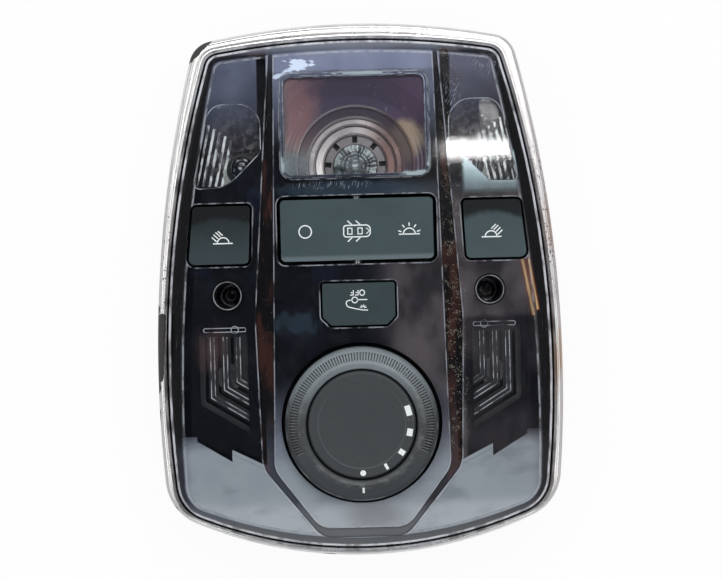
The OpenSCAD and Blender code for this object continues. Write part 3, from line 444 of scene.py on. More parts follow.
def smoked_panel(settings):
    """Smoked, glossy plastic that lets the lamps be seen, with painted pale reflections at its ends, painted
    highlights on its edges, painted shade in its grooves and wells, wear and dust.
    """
    f = Finish("smoked_panel")
    side = abs(f.x)
    clouds = f.noise(14, 4.0, (1, 1.4, 1), 1)
    wisps = f.noise(3.2, 5.0, (1, 2.2, 1), 4)
    lit = wisps.rise(0.34, 0.58)
    # Painted highlights on the edges of the openings and on the rims below the face, painted shade on the
    # walls below the face and in the screws' wells, and painted highlights on the wells' rings
    depth = dome_depth(f, settings)
    edge = depth.rise(0.03, 0.1) * depth.fall(0.38, 0.5)
    deep = depth.rise(0.5, 0.8)
    rim = f.z.band(33.3, 34.05, 0.12)
    bevel = deep * (f.y.rise(83, 88).most(f.y.fall(-84, -70)))
    well = radius_of(side - SCREW[0], f.y - SCREW[1])
    in_well = well.fall(5.5, 5.7)
    rings = well.band(4.75, 5.05, 0.08).most(well.band(4.05, 4.25, 0.06) * 0.8)
    # The grooves' colour: painted shade, nearly black, with a painted brown reflection along them
    brown = side.band(30, 37, 0.5) * f.noise(6, 3.0, (1, 4, 1), 13).rise(0.45, 0.62)
    groove = f.blend(brown, (0.003, 0.003, 0.004), (0.035, 0.014, 0.011))

    # Painted pale reflections at both ends and round the glare; film is their strength
    low, low_reflection_colour = low_pale_reflection(f, side, clouds, deep, bevel)
    high, high_reflection_colour = high_pale_reflection(f, side, clouds, deep)
    glow = glare_reflection(f, clouds)
    film = low.most(high).most(glow)
    pale_reflection_colour = f.coats(high_reflection_colour, (low, low_reflection_colour),
                          (glow.rise(0.0, 0.1), f.blend(glow, (0.20, 0.28, 0.31), (0.46, 0.60, 0.64))))

    mist, cloud = soft_reflections(f, side, wisps)
    mist_colour = f.blend(f.x.rise(-6, 16), (0.012, 0.020, 0.045), (0.10, 0.088, 0.095))
    haze = (wisps.rise(0.50, 0.78) * 0.12 * f.y.band(-60, 95, 6)).kept()
    patch = (f.ellipse(-52.5, -20.5, 7.0, 9.5) + (wisps - 0.5) * 1.6).fall(0.4, 1.1) * 0.16
    dust, worn, scuff = panel_dust(f, side), panel_scratches(f), white_scuff(f)
    # Painted golden reflections under the right map key, with painted brown between them
    streaks = golden_reflections(f, wisps)
    gold_reflection = f.blend(streaks.rise(0.45, 0.7), (0.26, 0.055, 0.012), (0.72, 0.50, 0.26))

    # The coats over the smoke include the painted pale and soft reflections, painted highlights on the edges,
    # rims and wells' rings, painted shade in the grooves and wells, and the painted golden reflections
    base = f.coats(tuple(settings.smoke),
                   (film.rise(0.0, 0.22), pale_reflection_colour),
                   ((mist * 2.0).kept() * (1 - film), mist_colour),
                   (haze, (0.16, 0.19, 0.24)),
                   ((cloud * 2.0).kept(), (0.06, 0.10, 0.14)),
                   (patch, (0.75, 0.42, 0.40)),
                   (edge * (0.15 + lit * 0.7), (0.36, 0.38, 0.42)),
                   (deep * (1 - low) * (1 - high), groove),
                   (rim * (0.25 + lit * 0.75), (0.62, 0.64, 0.68)),
                   (in_well, (0.004, 0.004, 0.005)),
                   (rings * (0.4 + lit * 0.6), (0.36, 0.37, 0.38)),
                   (dust, (0.24, 0.22, 0.18)),
                   (worn, (0.42, 0.45, 0.52)),
                   (streaks, gold_reflection),
                   (scuff, (0.62, 0.72, 0.88)))
    alpha = film * 1.15
    for solid in (edge * (0.15 + lit * 0.6), deep * 0.95, scuff, dust * 0.9, worn * 0.75, streaks * 0.8,
                  in_well, mist, cloud, haze + patch + settings.smoke_strength):
        alpha = alpha.most(solid)
    alpha = alpha.kept()
    gloss = (0.20 / alpha).kept() * (1 - deep * 0.85) * (1 - in_well)
    rough = 0.04 + film * 0.06 + dust * 0.4 + scuff * 0.3 + deep * (1 - rim) * 0.3
    return f.done(Base_Color=base, Alpha=alpha, IOR=1.47, Specular_IOR_Level=0.08, Coat_Weight=gloss.kept(),
                  Coat_IOR=3.0, Coat_Roughness=0.06, Roughness=rough.kept(),
                  Normal=f.bump(f.noise(30, 2.0) * 0.6 + worn * 0.05, 0.03, 0.4))


def clear_back():
    """The moulded back of the smoked panel, clear but for a little haze."""
    f = Finish("panel_back")
    haze = f.noise(9.0, 4.0)
    return f.done(Base_Color=f.blend(haze, (0.006, 0.008, 0.012), (0.03, 0.035, 0.045)), Alpha=haze * 0.05,
                  Roughness=0.2 + haze * 0.1)


def reading_window(f):
    """Distance in mm from the edge of the reading lamp's window, below 0 inside it: the farthest of its
    four straight sides and of the arc that cuts its inner corner."""
    side = abs(f.x)
    slope = (side - 58.2) * 0.9768 + (f.y - 36.9) * 0.2142
    inner = 33.6 - side
    top = f.y - 67.0 + abs(side - 43) * abs(side - 43) * 0.012
    cut = (46.0 - side) * 0.705 + (38.6 - f.y) * 0.71
    return slope.most(inner).most(top).most(cut).most(37.2 - f.y)


def smoked_window():
    """The dome lamp's clear, lightly smoked window with its raised rim, which is painted paler towards the
    top and carries painted highlights on its edges, and a painted teal reflection on the left.
    """
    f = Finish("smoked_window")
    inside = f.rounded_box(0, 58.4, 52.6, 37.4, 4.0)
    clouds = f.noise(11, 4.0, (1, 1.3, 1), 2)
    wisps = f.noise(2.6, 4.0, (1.4, 1, 1), 6)
    # The rim is painted paler towards the top; lines are painted highlights on the rim's edges, brighter
    # towards the top
    rim = inside.rise(-1.25, -1.1)
    lines = inside.band(-1.3, -1.05, 0.1) * (0.3 + wisps.rise(0.4, 0.6) * 0.7)
    lines = lines.most(inside.band(-0.3, 0.1, 0.1) * wisps.rise(0.4, 0.6) * 0.7)
    lines = lines * (0.45 + f.y.rise(40, 78) * 0.55)
    # left is a painted teal reflection down the left side and low on the left; high is a purplish tint that
    # grows towards the top
    left = f.x.fall(-26, -20) * 0.3 + f.ellipse(-21, 43.5, 7, 6).fall(0.5, 1.3) * 0.45
    high = f.y.rise(58, 79) * (0.25 + clouds * 0.45)
    worn = f.scratches(80, 0.16, 40, 0.27, 5) * f.noise(9, 2.0, seed=5).rise(0.48, 0.6)
    worn = (worn + f.specks(1.9, 0.075, 4) * 0.8).kept()
    scuffs = 0.0
    for place in ((-26.5, 45, 2.2, 6), (27, 45, 2.0, 5), (21, 40.6, 8, 1.5), (4, 76.6, 14, 0.9)):
        scuffs = (f.ellipse(*place) + (wisps - 0.5) * 2.4).fall(0.3, 0.9).most(scuffs)
    scuffs = scuffs * 0.7
    # The painted highlights on the rim share one coat with the real wear
    base = f.coats(f.blend(high, (0.05, 0.045, 0.055), (0.17, 0.13, 0.20)),
                   (left, (0.25, 0.31, 0.33)),
                   (rim * 0.8, f.blend(f.y.rise(44, 79), (0.025, 0.03, 0.05), (0.10, 0.12, 0.19))),
                   (lines.most(worn), (0.50, 0.56, 0.62)),
                   (scuffs, (0.52, 0.62, 0.66)))
    alpha = (rim * 0.75).most(scuffs).most(lines).most(worn * 0.6).most(high * 0.45).most(left).most(0.10)
    return f.done(Base_Color=base, Alpha=alpha.kept(), IOR=1.5, Coat_Weight=0.4,
                  Roughness=(0.06 + clouds * 0.06 + worn * 0.2).kept(),
                  Normal=f.bump(f.noise(20, 2.0), 0.03, 0.5))


def dome_mirror():
    """Ringed mirror: painted highlights on the crests of its rings, painted shade in the dark lines beside
    them, the painted colours of what it reflects, and dark spots.
    """
    f = Finish("dome_mirror")
    radius = radius_of(f.x - DOME_BULB[0], f.y - DOME_BULB[1])
    broad = f.noise(9, 4.0, seed=2)
    soft = (broad - 0.5) * 16
    fine = (radius * 4.2).sine().rise(-0.2, 0.9) * f.y.fall(46, 62) * radius.rise(20, 23) * 0.45
    bright = f.blend((f.x - f.y * 0.4).rise(-24, -8), (0.95, 0.90, 0.90), (0.42, 0.26, 0.22))
    base = f.blend((f.x + soft).rise(-22, -8), (0.30, 0.17, 0.18), (0.070, 0.060, 0.105))
    base = f.coats(base,
                   ((f.x + soft).rise(8, 20), (0.10, 0.065, 0.12)),
                   ((f.ellipse(19, 54, 7, 8) + (broad - 0.5) * 1.2).fall(0.5, 1.1), (0.46, 0.36, 0.26)),
                   ((f.y + soft * 0.5).fall(44, 56) * f.x.fall(-12, 0), (0.34, 0.36, 0.34)),
                   (radius.fall(20.9, 21.2) * 0.75, (0.085, 0.070, 0.085)),
                   (fine, (0.62, 0.60, 0.60)),
                   (radius.band(15.5, 17.2, 0.1) * (broad * 1.2 - 0.1).kept(), bright),
                   (radius.band(12.1, 14.6, 0.1) * (0.3 + broad * 0.8).kept(), bright),
                   (radius.band(8.2, 11.4, 0.2) * 0.6, (0.42, 0.40, 0.41)))
    for crest in (11.9, 15.15, 17.65, 21.45):
        base = f.coats(base,
                       (radius.band(crest - 0.22, crest + 0.22, 0.1) * (0.6 + broad * 0.4), bright),
                       (radius.band(crest - 0.85, crest - 0.4, 0.12) * 0.9, (0.012, 0.010, 0.015)))
    spots = f.noise(1.4, 4.0, seed=6).rise(0.64, 0.70) * 0.6
    return f.done(Base_Color=f.blend(spots, base, (0.03, 0.03, 0.035)),
                  Metallic=(0.55 - spots * 0.4).kept(), Roughness=(0.26 + broad * 0.12).kept(),
                  Normal=f.bump(f.noise(1.3, 3.0, seed=5), 0.010, 0.5))


def reading_mirror():
    """The reading lamp's bowl: dull, blotched plating with a painted highlight beside the bulb."""
    f = Finish("reading_mirror")
    # patch is a painted highlight beside the bulb
    across, along = (abs(f.x) - 46.6) / 1.9, (f.y - 43.2) / 6.0
    patch = (across * across + along * along + (f.noise(1.6, 2.0) - 0.5)).fall(0.7, 1.1)
    broad = f.noise(5.5, 4.0, seed=2)
    spots = f.noise(2.3, 4.0, seed=6).rise(0.44, 0.54)
    base = f.coats(f.blend(broad, (0.03, 0.028, 0.032), (0.20, 0.19, 0.205)),
                   (spots * 0.9, (0.010, 0.010, 0.013)),
                   (patch, (0.86, 0.95, 0.88)))
    return f.done(Base_Color=base, Metallic=(0.75 - spots * 0.5 - patch * 0.5).kept(),
                  Roughness=(0.22 + broad * 0.12 + spots * 0.2).kept(),
                  Normal=f.bump(f.noise(1.4, 3.0), 0.05, 0.6))


def ribbed_plastic():
    """Clear plastic whose ribs catch the light along their tops."""
    f = Finish("ribbed_lens")
    glints = f.noise(2.2, 3.0, (1, 2.4, 1), 2).rise(0.36, 0.6)
    top, wall = f.z.rise(32.2, 32.7), f.z.band(31.1, 32.2, 0.2)
    edge = f.rounded_box(0, 51.5, 116.5, 30.6, 3).rise(-0.9, -0.4) * f.z.fall(31.2, 31.4)
    shine = (top * (0.3 + glints * 0.7)).most(edge * (0.3 + glints * 0.6))
    return f.done(Base_Color=f.blend(shine, (0.05, 0.065, 0.07), (0.85, 0.90, 0.92)),
                  Alpha=(shine * 0.9).most(wall * 0.35).most(0.12).kept(), IOR=1.5,
                  Coat_Weight=0.6, Roughness=(0.08 + glints * 0.08).kept(),
                  Normal=f.bump(f.noise(2.2, 2.0), 0.02, 0.4))


def bulb_glass(name, middle, colour, alpha):
    """Bulb glass with the painted curved glints of the windows round it, and a painted highlight off its
    middle.
    """
    f = Finish(name)
    x, y = abs(f.x) - middle[0], f.y - middle[1]
    radius = radius_of(x, y)
    clouds = f.noise(1.6, 4.0, seed=3)
    glints = radius.band(2.6, 3.3, 0.15) * (x + y * 1.4 + (clouds - 0.5) * 3).rise(0.6, 1.4)
    glints = glints.most(radius.band(1.2, 1.7, 0.1) * (y - x).rise(0.2, 0.9) * 0.8)
    tip_highlight = (radius_of(x - 0.4, y + 0.5) + (clouds - 0.5)).fall(0.45, 0.8)
    shine = (glints * clouds.rise(0.35, 0.6)).most(tip_highlight).kept()
    base = f.blend(clouds, times(colour, 0.5), times(colour, 1.5))
    return f.done(Base_Color=f.blend(shine, base, (0.80, 0.88, 0.90)),
                  Alpha=(shine * 0.9).most(alpha + clouds * 0.1), IOR=1.5, Coat_Weight=0.5,
                  Roughness=0.05 + clouds * 0.06, Normal=f.bump(f.noise(2.2, 2.0), 0.02, 0.4))


def swirled_holder():
    """The dome bulb's plated holder: painted reflections in radial swirls from white and teal to black round
    the bulb, with fine painted highlights.
    """
    f = Finish("bright_holder")
    x, y = f.x - DOME_BULB[0], f.y - DOME_BULB[1]
    turn = y.angle(x)
    swirl_reflections = (turn * 6 + f.noise(3.0, 4.0, seed=2) * 7).sine() * 0.5 + 0.5
    fine = (turn * 29 + f.noise(2.0, 3.0, seed=5) * 9).sine() * 0.5 + 0.5
    base = f.coats(f.blend(swirl_reflections, (0.05, 0.075, 0.08), (0.42, 0.50, 0.51)),
                   (fine.rise(0.6, 0.95) * (f.x + f.y).rise(38, 48) * 0.7, (0.86, 0.92, 0.92)),
                   (radius_of(x, y).band(5.0, 5.5, 0.15) * 0.8, (0.02, 0.025, 0.03)))
    return f.done(Base_Color=base, Metallic=0.5, Roughness=0.22 + swirl_reflections * 0.1,
                  Normal=f.bump(fine, 0.012, 0.5))


def key_plastic(name, colour, edge_top, rough=0.42, dark_from=None, pale_below=None):
    """Satin key plastic with fine grain, a little dust and walls in painted shade. A dished key is painted
    dark from dark_from up, where it faces away from the light, and the left one is painted darker still; a
    domed one carries a painted highlight below pale_below."""
    f = Finish(name)
    clouds = f.noise(7, 4.0, (1.5, 1, 1), 3)
    dust = f.specks(1.5, 0.08, 6) * f.noise(5, 2.0, seed=2).rise(0.5, 0.62)
    base = f.blend(clouds, times(colour, 0.86), times(colour, 1.14))
    if dark_from:
        bend = abs(f.x) - 47.6
        edge = f.y + bend * bend * 0.022 + (f.noise(3.2, 3.0, seed=4) - 0.5) * 1.6
        # Painted shade: the left key darker, and both keys dark from dark_from up
        base = f.coats(base,
                       (f.x.fall(-40, -30) * (0.45 + f.y.rise(12, 27) * 0.4), (0.008, 0.012, 0.014)),
                       (edge.rise(dark_from - 1.8, dark_from + 1.0) * 0.95, (0.002, 0.003, 0.004)))
    if pale_below:
        # A painted highlight below pale_below
        base = f.blend(f.y.fall(pale_below - 1.0, pale_below + 0.4) * 0.4, base, (0.20, 0.24, 0.26))
    # Painted shade on the walls below the top edge, then dust
    base = f.coats(base,
                   (f.z.fall(edge_top - 0.9, edge_top - 0.5) * 0.6, (0.015, 0.016, 0.017)),
                   ((dust * 0.6).kept(), (0.32, 0.31, 0.28)))
    return f.done(Base_Color=base, Roughness=(rough - 0.05 + clouds * 0.1).kept(),
                  Specular_IOR_Level=0.18, Normal=f.bump(f.noise(0.28, 2.0), 0.010, 0.5))


def dial_plastic(settings):
    """The dial's soft satin plastic: turning marks, painted light on the ring's upper side and on the flutes,
    painted shade between the flutes, painted highlights on the step and the outer edge, wear on the crest and
    brown dust.
    """
    f = Finish("dial_plastic")
    x, y = f.x - DIAL[0], f.y - DIAL[1]
    radius = radius_of(x, y)
    turned = (radius * 9.0).sine() * 0.5 + 0.5
    clouds = f.noise(8, 4.0, seed=5)
    broken = f.noise(3.5, 3.0, seed=12).rise(0.42, 0.62)
    crest = radius.band(20.3, 22.3, 0.5) * f.noise(2.2, 3.0, seed=1).rise(0.4, 0.7)
    # step carries a painted highlight; lit is painted light on the ring's upper side
    step = radius.band(15.05, 15.5, 0.1)
    lit = radius.rise(19.3, 19.6) * (y + 4 + (clouds - 0.5) * 8).rise(2, 28) * 0.85
    # 150 flutes to the turn, all but those of the smooth lower end
    waves = (y.angle(x) * 150 + math.pi / 2).sine() * radius.band(22.4, 25.1, 0.1)
    fluted = (y / radius).rise(-0.43, -0.41)
    flecks = f.specks(0.7, 0.3, 4) * f.noise(1.8, 3.0, seed=8).rise(0.52, 0.6) \
        * (f.ellipse(DIAL[0] + 20.5, DIAL[1] + 4, 6, 17).fall(0.6, 1.1) + 0.07)
    streaks = f.scratches(4, 0.16, 26, 0.27, 6) * radius.fall(14, 15)
    # Coats: the painted light, crest wear with the step's painted highlight, painted light on the flutes and
    # painted shade between them, the outer edge's painted highlight, and dust with scratches
    base = f.coats(f.blend(clouds, times(settings.dial_colour, 0.88), times(settings.dial_colour, 1.12)),
                   (lit, (0.20, 0.235, 0.25)),
                   (crest * 0.3 + step * 0.35, (0.17, 0.185, 0.19)),
                   (waves.rise(0.3, 0.95) * fluted * (0.1 + broken * 0.4), (0.16, 0.175, 0.175)),
                   (waves.fall(-0.8, -0.3) * fluted * 0.8, (0.012, 0.013, 0.014)),
                   (radius.band(26.3, 26.7, 0.1) * broken * 0.5, (0.24, 0.26, 0.26)),
                   ((flecks * 0.8 + streaks * 0.25).kept(), (0.24, 0.22, 0.18)))
    return f.done(Base_Color=base, Roughness=(0.40 + clouds * 0.12 - crest * 0.06).kept(),
                  Normal=f.bump(f.noise(0.25, 2.0) * 0.7 + turned * 0.3, 0.010, 0.6))


def print_ink(name, colour):
    """White print, a little uneven."""
    f = Finish(name)
    uneven = f.noise(0.35, 3.0)
    return f.done(Base_Color=f.blend(uneven, times(colour, 0.82), tuple(colour)),
                  Roughness=(0.45 + uneven * 0.15).kept(), Normal=f.bump(uneven, 0.004, 0.5))


def plain_metal(name, colour, rough=0.3):
    """Turned or drawn metal with fine lines and stains."""
    f = Finish(name)
    stains = f.noise(3.0, 4.0, seed=4)
    base = f.blend(stains.rise(0.5, 0.75) * 0.6, colour, times(colour, 0.55))
    return f.done(Base_Color=base, Metallic=0.95, Roughness=(rough + stains * 0.16).kept(),
                  Normal=f.bump(f.noise(0.3, 2.0, (1, 1, 0.2)), 0.008, 0.5))


def screw_steel():
    """Blackened steel with painted highlights on the edge of the head, round the socket and in two glints."""
    f = Finish("black_steel")
    radius = radius_of(abs(f.x) - SCREW[0], f.y - SCREW[1])
    stains = f.noise(1.2, 4.0, seed=4)
    bright = radius.band(2.95, 3.3, 0.1).most(radius.band(1.6, 1.85, 0.1)) * stains.rise(0.38, 0.52)
    for x in (46.9, -46.1):
        bright = bright.most(f.ellipse(x, -0.2, 0.7, 0.5).fall(0.7, 1.1))
    base = f.blend(stains, (0.010, 0.010, 0.012), (0.04, 0.04, 0.043))
    return f.done(Base_Color=f.blend(bright.kept(), base, (0.55, 0.55, 0.56)), Metallic=0.3,
                  Roughness=(0.32 + stains * 0.16).kept(), Normal=f.bump(f.noise(0.3, 2.0), 0.008, 0.5))


def board_lacquer():
    """Nearly black green lacquer over copper tracks."""
    f = Finish("board_lacquer")
    tracks = f.noise(1.3, 0.0, (6, 1, 1), 3).band(0.49, 0.54, 0.01)
    base = f.blend(tracks * 0.7, (0.003, 0.016, 0.009), (0.008, 0.045, 0.022))
    return f.done(Base_Color=base, Roughness=(0.3 + tracks * 0.1).kept(), Coat_Weight=0.3,
                  Normal=f.bump(tracks, 0.03, 0.5))


def broken_edge(name, colour):
    """A moulded edge that catches the light only here and there."""
    f = Finish(name)
    lit = f.noise(5.0, 4.0, seed=3).rise(0.40, 0.58)
    return f.done(Base_Color=f.blend(lit, times(colour, 0.12), colour),
                  Roughness=(0.25 + lit * 0.1).kept(), Normal=f.bump(f.noise(0.8), 0.02, 0.4))


def surface(grid, wrap_along=False, wrap_across=False):
    """Points and quads of a grid of points, joined end to start where it wraps."""
    along, across = grid.shape[:2]
    i = np.arange(along if wrap_along else along - 1)
    j = np.arange(across if wrap_across else across - 1)
    i, j = (a.ravel() for a in np.meshgrid(i, j, indexing="ij"))
    i2, j2 = (i + 1) % along, (j + 1) % across
    quads = np.stack([i * across + j, i2 * across + j, i2 * across + j2, i * across + j2], axis=1)
    return grid.reshape(-1, 3), quads


def piece(name, parts, material, body=UNIT, smooth_angle=40.0, node=None):
    """One object from parts in mm: doubles merged, faces turned outwards, riding on its body."""
    points, faces, start = [], [], 0
    for vertices, quads in parts:
        points.append(vertices)
        faces.append(quads + start)
        start += len(vertices)
    points, faces = np.concatenate(points) * MM, np.concatenate(faces)
    mesh = bpy.data.meshes.new(name)
    mesh.from_pydata(points.tolist(), [], faces.tolist())
    work = bmesh.new()
    work.from_mesh(mesh)
    bmesh.ops.remove_doubles(work, verts=work.verts, dist=MERGE)
    bmesh.ops.dissolve_degenerate(work, edges=work.edges, dist=MERGE / 10)
    bmesh.ops.recalc_face_normals(work, faces=work.faces)
    return finished(name, mesh, work, material, body, smooth_angle, node)


def finished(name, mesh, work, material, body, smooth_angle, node):
    """Shades a mesh smooth up to an angle, gives it its finish and body, and lets it stand for a node."""
    limit = math.radians(smooth_angle)
    for face in work.faces:
        face.smooth = True
    for edge in work.edges:
        edge.smooth = len(edge.link_faces) == 2 and edge.calc_face_angle(math.pi) < limit
    work.to_mesh(mesh)
    work.free()
    mesh.materials.clear()
    mesh.materials.append(material)
    made = bpy.data.objects.new(name, mesh)
    bpy.context.scene.collection.objects.link(made)
    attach(made, body)
    if node:
        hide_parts(node)
    return made


def smooth_copy(node, name, material, smooth_angle, body=UNIT):
    """A merged, smoothly shaded copy of a CAD node, which stands for it."""
    work = bmesh.new()
    work.from_mesh(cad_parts[node].data)
    bmesh.ops.remove_doubles(work, verts=work.verts, dist=MERGE_CAD)
    mesh = bpy.data.meshes.new(name)
    return finished(name, mesh, work, material, body, smooth_angle, node)


def dress(material, slot, *nodes):
    """Gives CAD nodes their finish. The slot is not used."""
    for name in nodes:
        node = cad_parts[name]
        node.data.materials.clear()
        node.data.materials.append(material)


def heading(degrees):
    """The flat direction at this angle from X."""
    turn = math.radians(degrees)
    return np.array([math.cos(turn), math.sin(turn)])


def arc(middle, radius, start, end, steps):
    """Points on an arc of a circle, angles in degrees."""
    turn = np.radians(np.linspace(start, end, steps))
    return np.stack([middle[0] + radius * np.cos(turn), middle[1] + radius * np.sin(turn)], axis=1)


def meeting(c1, r1, c2, r2, side):
    """Where two circles meet, on the side that the sign picks."""
    c1, c2 = np.array(c1, float), np.array(c2, float)
    gap = c2 - c1
    d = np.hypot(*gap)
    e = gap / d
    a = (r1 * r1 - r2 * r2 + d * d) / (2 * d)
    return c1 + a * e + side * math.sqrt(r1 * r1 - a * a) * np.array([-e[1], e[0]])


def outline(shape, inset, turn):
    """The unit's outline at these angles round the origin: four large arcs with rounded corners, moved in."""
    top, bottom = (0, shape["top"] - shape["top_r"]), (0, shape["bottom"] + shape["bottom_r"])
    sides = (shape["half"] - shape["side_r"], shape["widest"])
    r_top, r_bottom, r_side = (shape[k] - inset for k in ("top_r", "bottom_r", "side_r"))
    r_corner, r_foot = max(shape["corner_r"] - inset, 1), max(shape["foot_r"] - inset, 1)
    corner = meeting(top, r_top - r_corner, sides, r_side - r_corner, -1)
    foot = meeting(bottom, r_bottom - r_foot, sides, r_side - r_foot, 1)

    def angle(point, middle):
        return math.degrees(math.atan2(point[1] - middle[1], point[0] - middle[0]))

    half = np.concatenate([
        arc(bottom, r_bottom, -90, angle(foot, bottom), 60),
        arc(foot, r_foot, angle(foot, bottom), angle(foot, sides), 40),
        arc(sides, r_side, angle(foot, sides), angle(corner, sides), 80),
        arc(corner, r_corner, angle(corner, sides), angle(corner, top), 40),
        arc(top, r_top, angle(corner, top), 90, 60)])
    whole = np.concatenate([half, half[-2:0:-1] * [-1, 1]])
    around = np.unwrap(np.arctan2(whole[:, 1], whole[:, 0]))
    radius = np.interp(turn, around, np.hypot(whole[:, 0], whole[:, 1]), period=2 * math.pi)
    return np.stack([radius * np.cos(turn), radius * np.sin(turn)], axis=1)


def trim_ring(settings, steps=960, lean_in=1.9, lean_out=0.8, margin=0.01):
    """The chrome bead: a section of inset and height, carried round the outline. Its foot and outer wall
    follow the outer outline, its inner wall follows the inner one, and the crest runs from one to the other:
    from lean_in mm inside the outer outline to lean_out mm outside the inner one. It stays margin mm inside
    the trim's own box."""
    low, high = node_box("chrome_trim")
    foot, crest = low[2], high[2]
    rise = crest - foot
    outer_top, inner_top, inner_foot = 0.42, 0.80, 0.4
    quarter = np.radians(np.linspace(0, 90, 12))
    share = np.linspace(0, 1, 9)[1:-1]
    hump = crest - settings.crest_sag / MM * (2 * share - 1) ** 2
    # Share of the way to the inner outline, inset from the outline, height
    section = [(0.0, 0.0, foot)]
    section += [(0.0, lean_in * (1 - math.cos(a)), foot + rise * (outer_top + (1 - outer_top) * math.sin(a)))
                for a in quarter]
    section += [(s, None, z) for s, z in zip(share, hump)]
    section += [(1.0, -lean_out * math.cos(a), foot + rise * (inner_top + (1 - inner_top) * math.cos(a)))
                for a in quarter]
    section += [(1.0, 0.0, foot + rise * inner_foot), (1.0, 0.0, foot), (0.5, 0.0, foot)]
    turn = np.linspace(0, 2 * math.pi, steps, endpoint=False)
    rows = []
    for share_in, inset, z in section:
        outer = outline(OUTER, lean_in if inset is None else inset, turn)
        inner = outline(INNER, -lean_out if inset is None else inset, turn)
        flat = outer * (1 - share_in) + inner * share_in
        flat = np.clip(flat, low[:2] + margin, high[:2] - margin)
        rows.append(np.column_stack([flat, np.full(steps, z)]))
    return surface(np.stack(rows, axis=1), True, True)


def lifted(points, height):
    """Points of a plane at this height, which may be a function of them."""
    return np.column_stack([points, height(points) if callable(height) else np.full(len(points), height)])


def closed_bar(grid):
    """A bar whose section has four corners, with both its ends closed."""
    points, quads = surface(grid, False, True)
    last = len(points) - 4
    return points, np.concatenate([quads, [[0, 1, 2, 3], [last + 3, last + 2, last + 1, last]]])


def stroke(path, width, low, high, closed=False):
    """A printed or raised line: a rectangle of this width, from low to high, carried along a flat path.
    low and high may be functions of the points, so that the line follows a curved face."""
    path = np.asarray(path, float)
    before, after = (np.roll(path, 1, 0), np.roll(path, -1, 0)) if closed else \
        (np.concatenate([path[:1], path[:-1]]), np.concatenate([path[1:], path[-1:]]))

    def unit(ways):
        return ways / np.maximum(np.hypot(*ways.T)[:, None], 1e-9)

    into, out = unit(path - before), unit(after - path)
    along = unit(into + out)
    turned = np.stack([-along[:, 1], along[:, 0]], axis=1)
    known = np.where((np.hypot(*into.T) > 0.5)[:, None], into, out)
    mitre = np.clip((along * known).sum(1), 0.5, 1)[:, None]
    left, right = path + turned * width / 2 / mitre, path - turned * width / 2 / mitre
    grid = np.stack([lifted(left, low), lifted(right, low), lifted(right, high), lifted(left, high)], axis=1)
    return surface(grid, True, True) if closed else closed_bar(grid)


def tube(path, radius, sides=10):
    """A round wire along a path in space: circles square to the path, with closed ends."""
    path = np.asarray(path, float)
    along = np.gradient(path, axis=0)
    along /= np.linalg.norm(along, axis=1)[:, None]
    helper = np.where(np.abs(along[:, 2:3]) < 0.8, [[0, 0, 1.0]], [[0, 1.0, 0]])
    first = np.cross(along, helper)
    first /= np.linalg.norm(first, axis=1)[:, None]
    second = np.cross(along, first)
    turn = np.linspace(0, 2 * math.pi, sides, endpoint=False)
    ring = np.cos(turn)[None, :, None] * first[:, None] + np.sin(turn)[None, :, None] * second[:, None]
    grid = path[:, None] + ring * radius
    grid = np.concatenate([np.repeat(path[:1, None], sides, 1), grid, np.repeat(path[-1:, None], sides, 1)])
    return surface(grid, False, True)


def tab(middle, width, height, degrees, low, high):
    """A small printed bar, width long in the given direction and height across it."""
    along = np.linspace(-width / 2, width / 2, 3)[:, None] * heading(degrees)
    return stroke(middle + along, height, low, high)


def disc(middle, radius, low, high, steps=40):
    """A printed dot, as a ring that closes on its middle."""
    rim = arc(middle, radius, 0, 360 * (1 - 1 / steps), steps)
    heart = np.repeat([middle], steps, 0)
    rows = [lifted(heart, low), lifted(rim, low), lifted(rim, high), lifted(heart, high)]
    return surface(np.stack(rows, axis=1), True, False)


def ray_fan(middle, near, far, angles, width, low, high):
    """Straight rays round a point."""
    return [stroke([middle + heading(a) * near, middle + heading(a) * far], width, low, high)
            for a in angles]


def colour_setting(name, description, default):
    """A colour in the panel."""
    return bpy.props.FloatVectorProperty(name=name, description=description, subtype="COLOR", size=3,
                                         default=default, min=0, max=1)


def length_setting(name, description, default, low, high, precision=5):
    """A length in the panel, in metres."""
    return bpy.props.FloatProperty(name=name, description=description, default=default, min=low, max=high,
                                   unit="LENGTH", precision=precision)


class TrimSettings(bpy.types.PropertyGroup):
    """Sizes and colour of the chrome trim."""

    plating: colour_setting("Plating", "Colour of the chrome plating", (0.80, 0.79, 0.77))
    crest_sag: length_setting("Crest sag", "How far the crest's edges lie below its middle",
                              0.00022, 0, 0.001)


class PanelSettings(bpy.types.PropertyGroup):
    """Shape and tint of the smoked front."""

    face_height: length_setting("Face height", "Height of the domed face over the back, at its middle",
                                FACE_HEIGHT * MM, 0.02, 0.06, 4)
    crown_radius: length_setting("Dome radius", "Radius to which the face is domed",
                                 FACE_RADIUS * MM, 0.5, 5, 2)
    smoke: colour_setting("Smoke", "Colour of the smoked plastic", (0.002, 0.003, 0.006))
    smoke_strength: bpy.props.FloatProperty(
        name="Smoke strength", description="How much of what lies behind the panel it hides",
        default=0.12, min=0, max=1, subtype="FACTOR")


class KeySettings(bpy.types.PropertyGroup):
    """Colours and print of the keys and the dial."""

    key_colour: colour_setting("Keys", "Colour of the keys", (0.042, 0.064, 0.070))
    dial_colour: colour_setting("Dial", "Colour of the dial", (0.022, 0.027, 0.029))
    ink: colour_setting("Print", "Colour of the symbols", (0.80, 0.84, 0.83))
    line: length_setting("Line", "Width of the symbols' lines", 0.00042, 0.0001, 0.001)
    print_height: length_setting("Print height", "How far the print stands over its key",
                                 0.00003, 0, 0.0002)


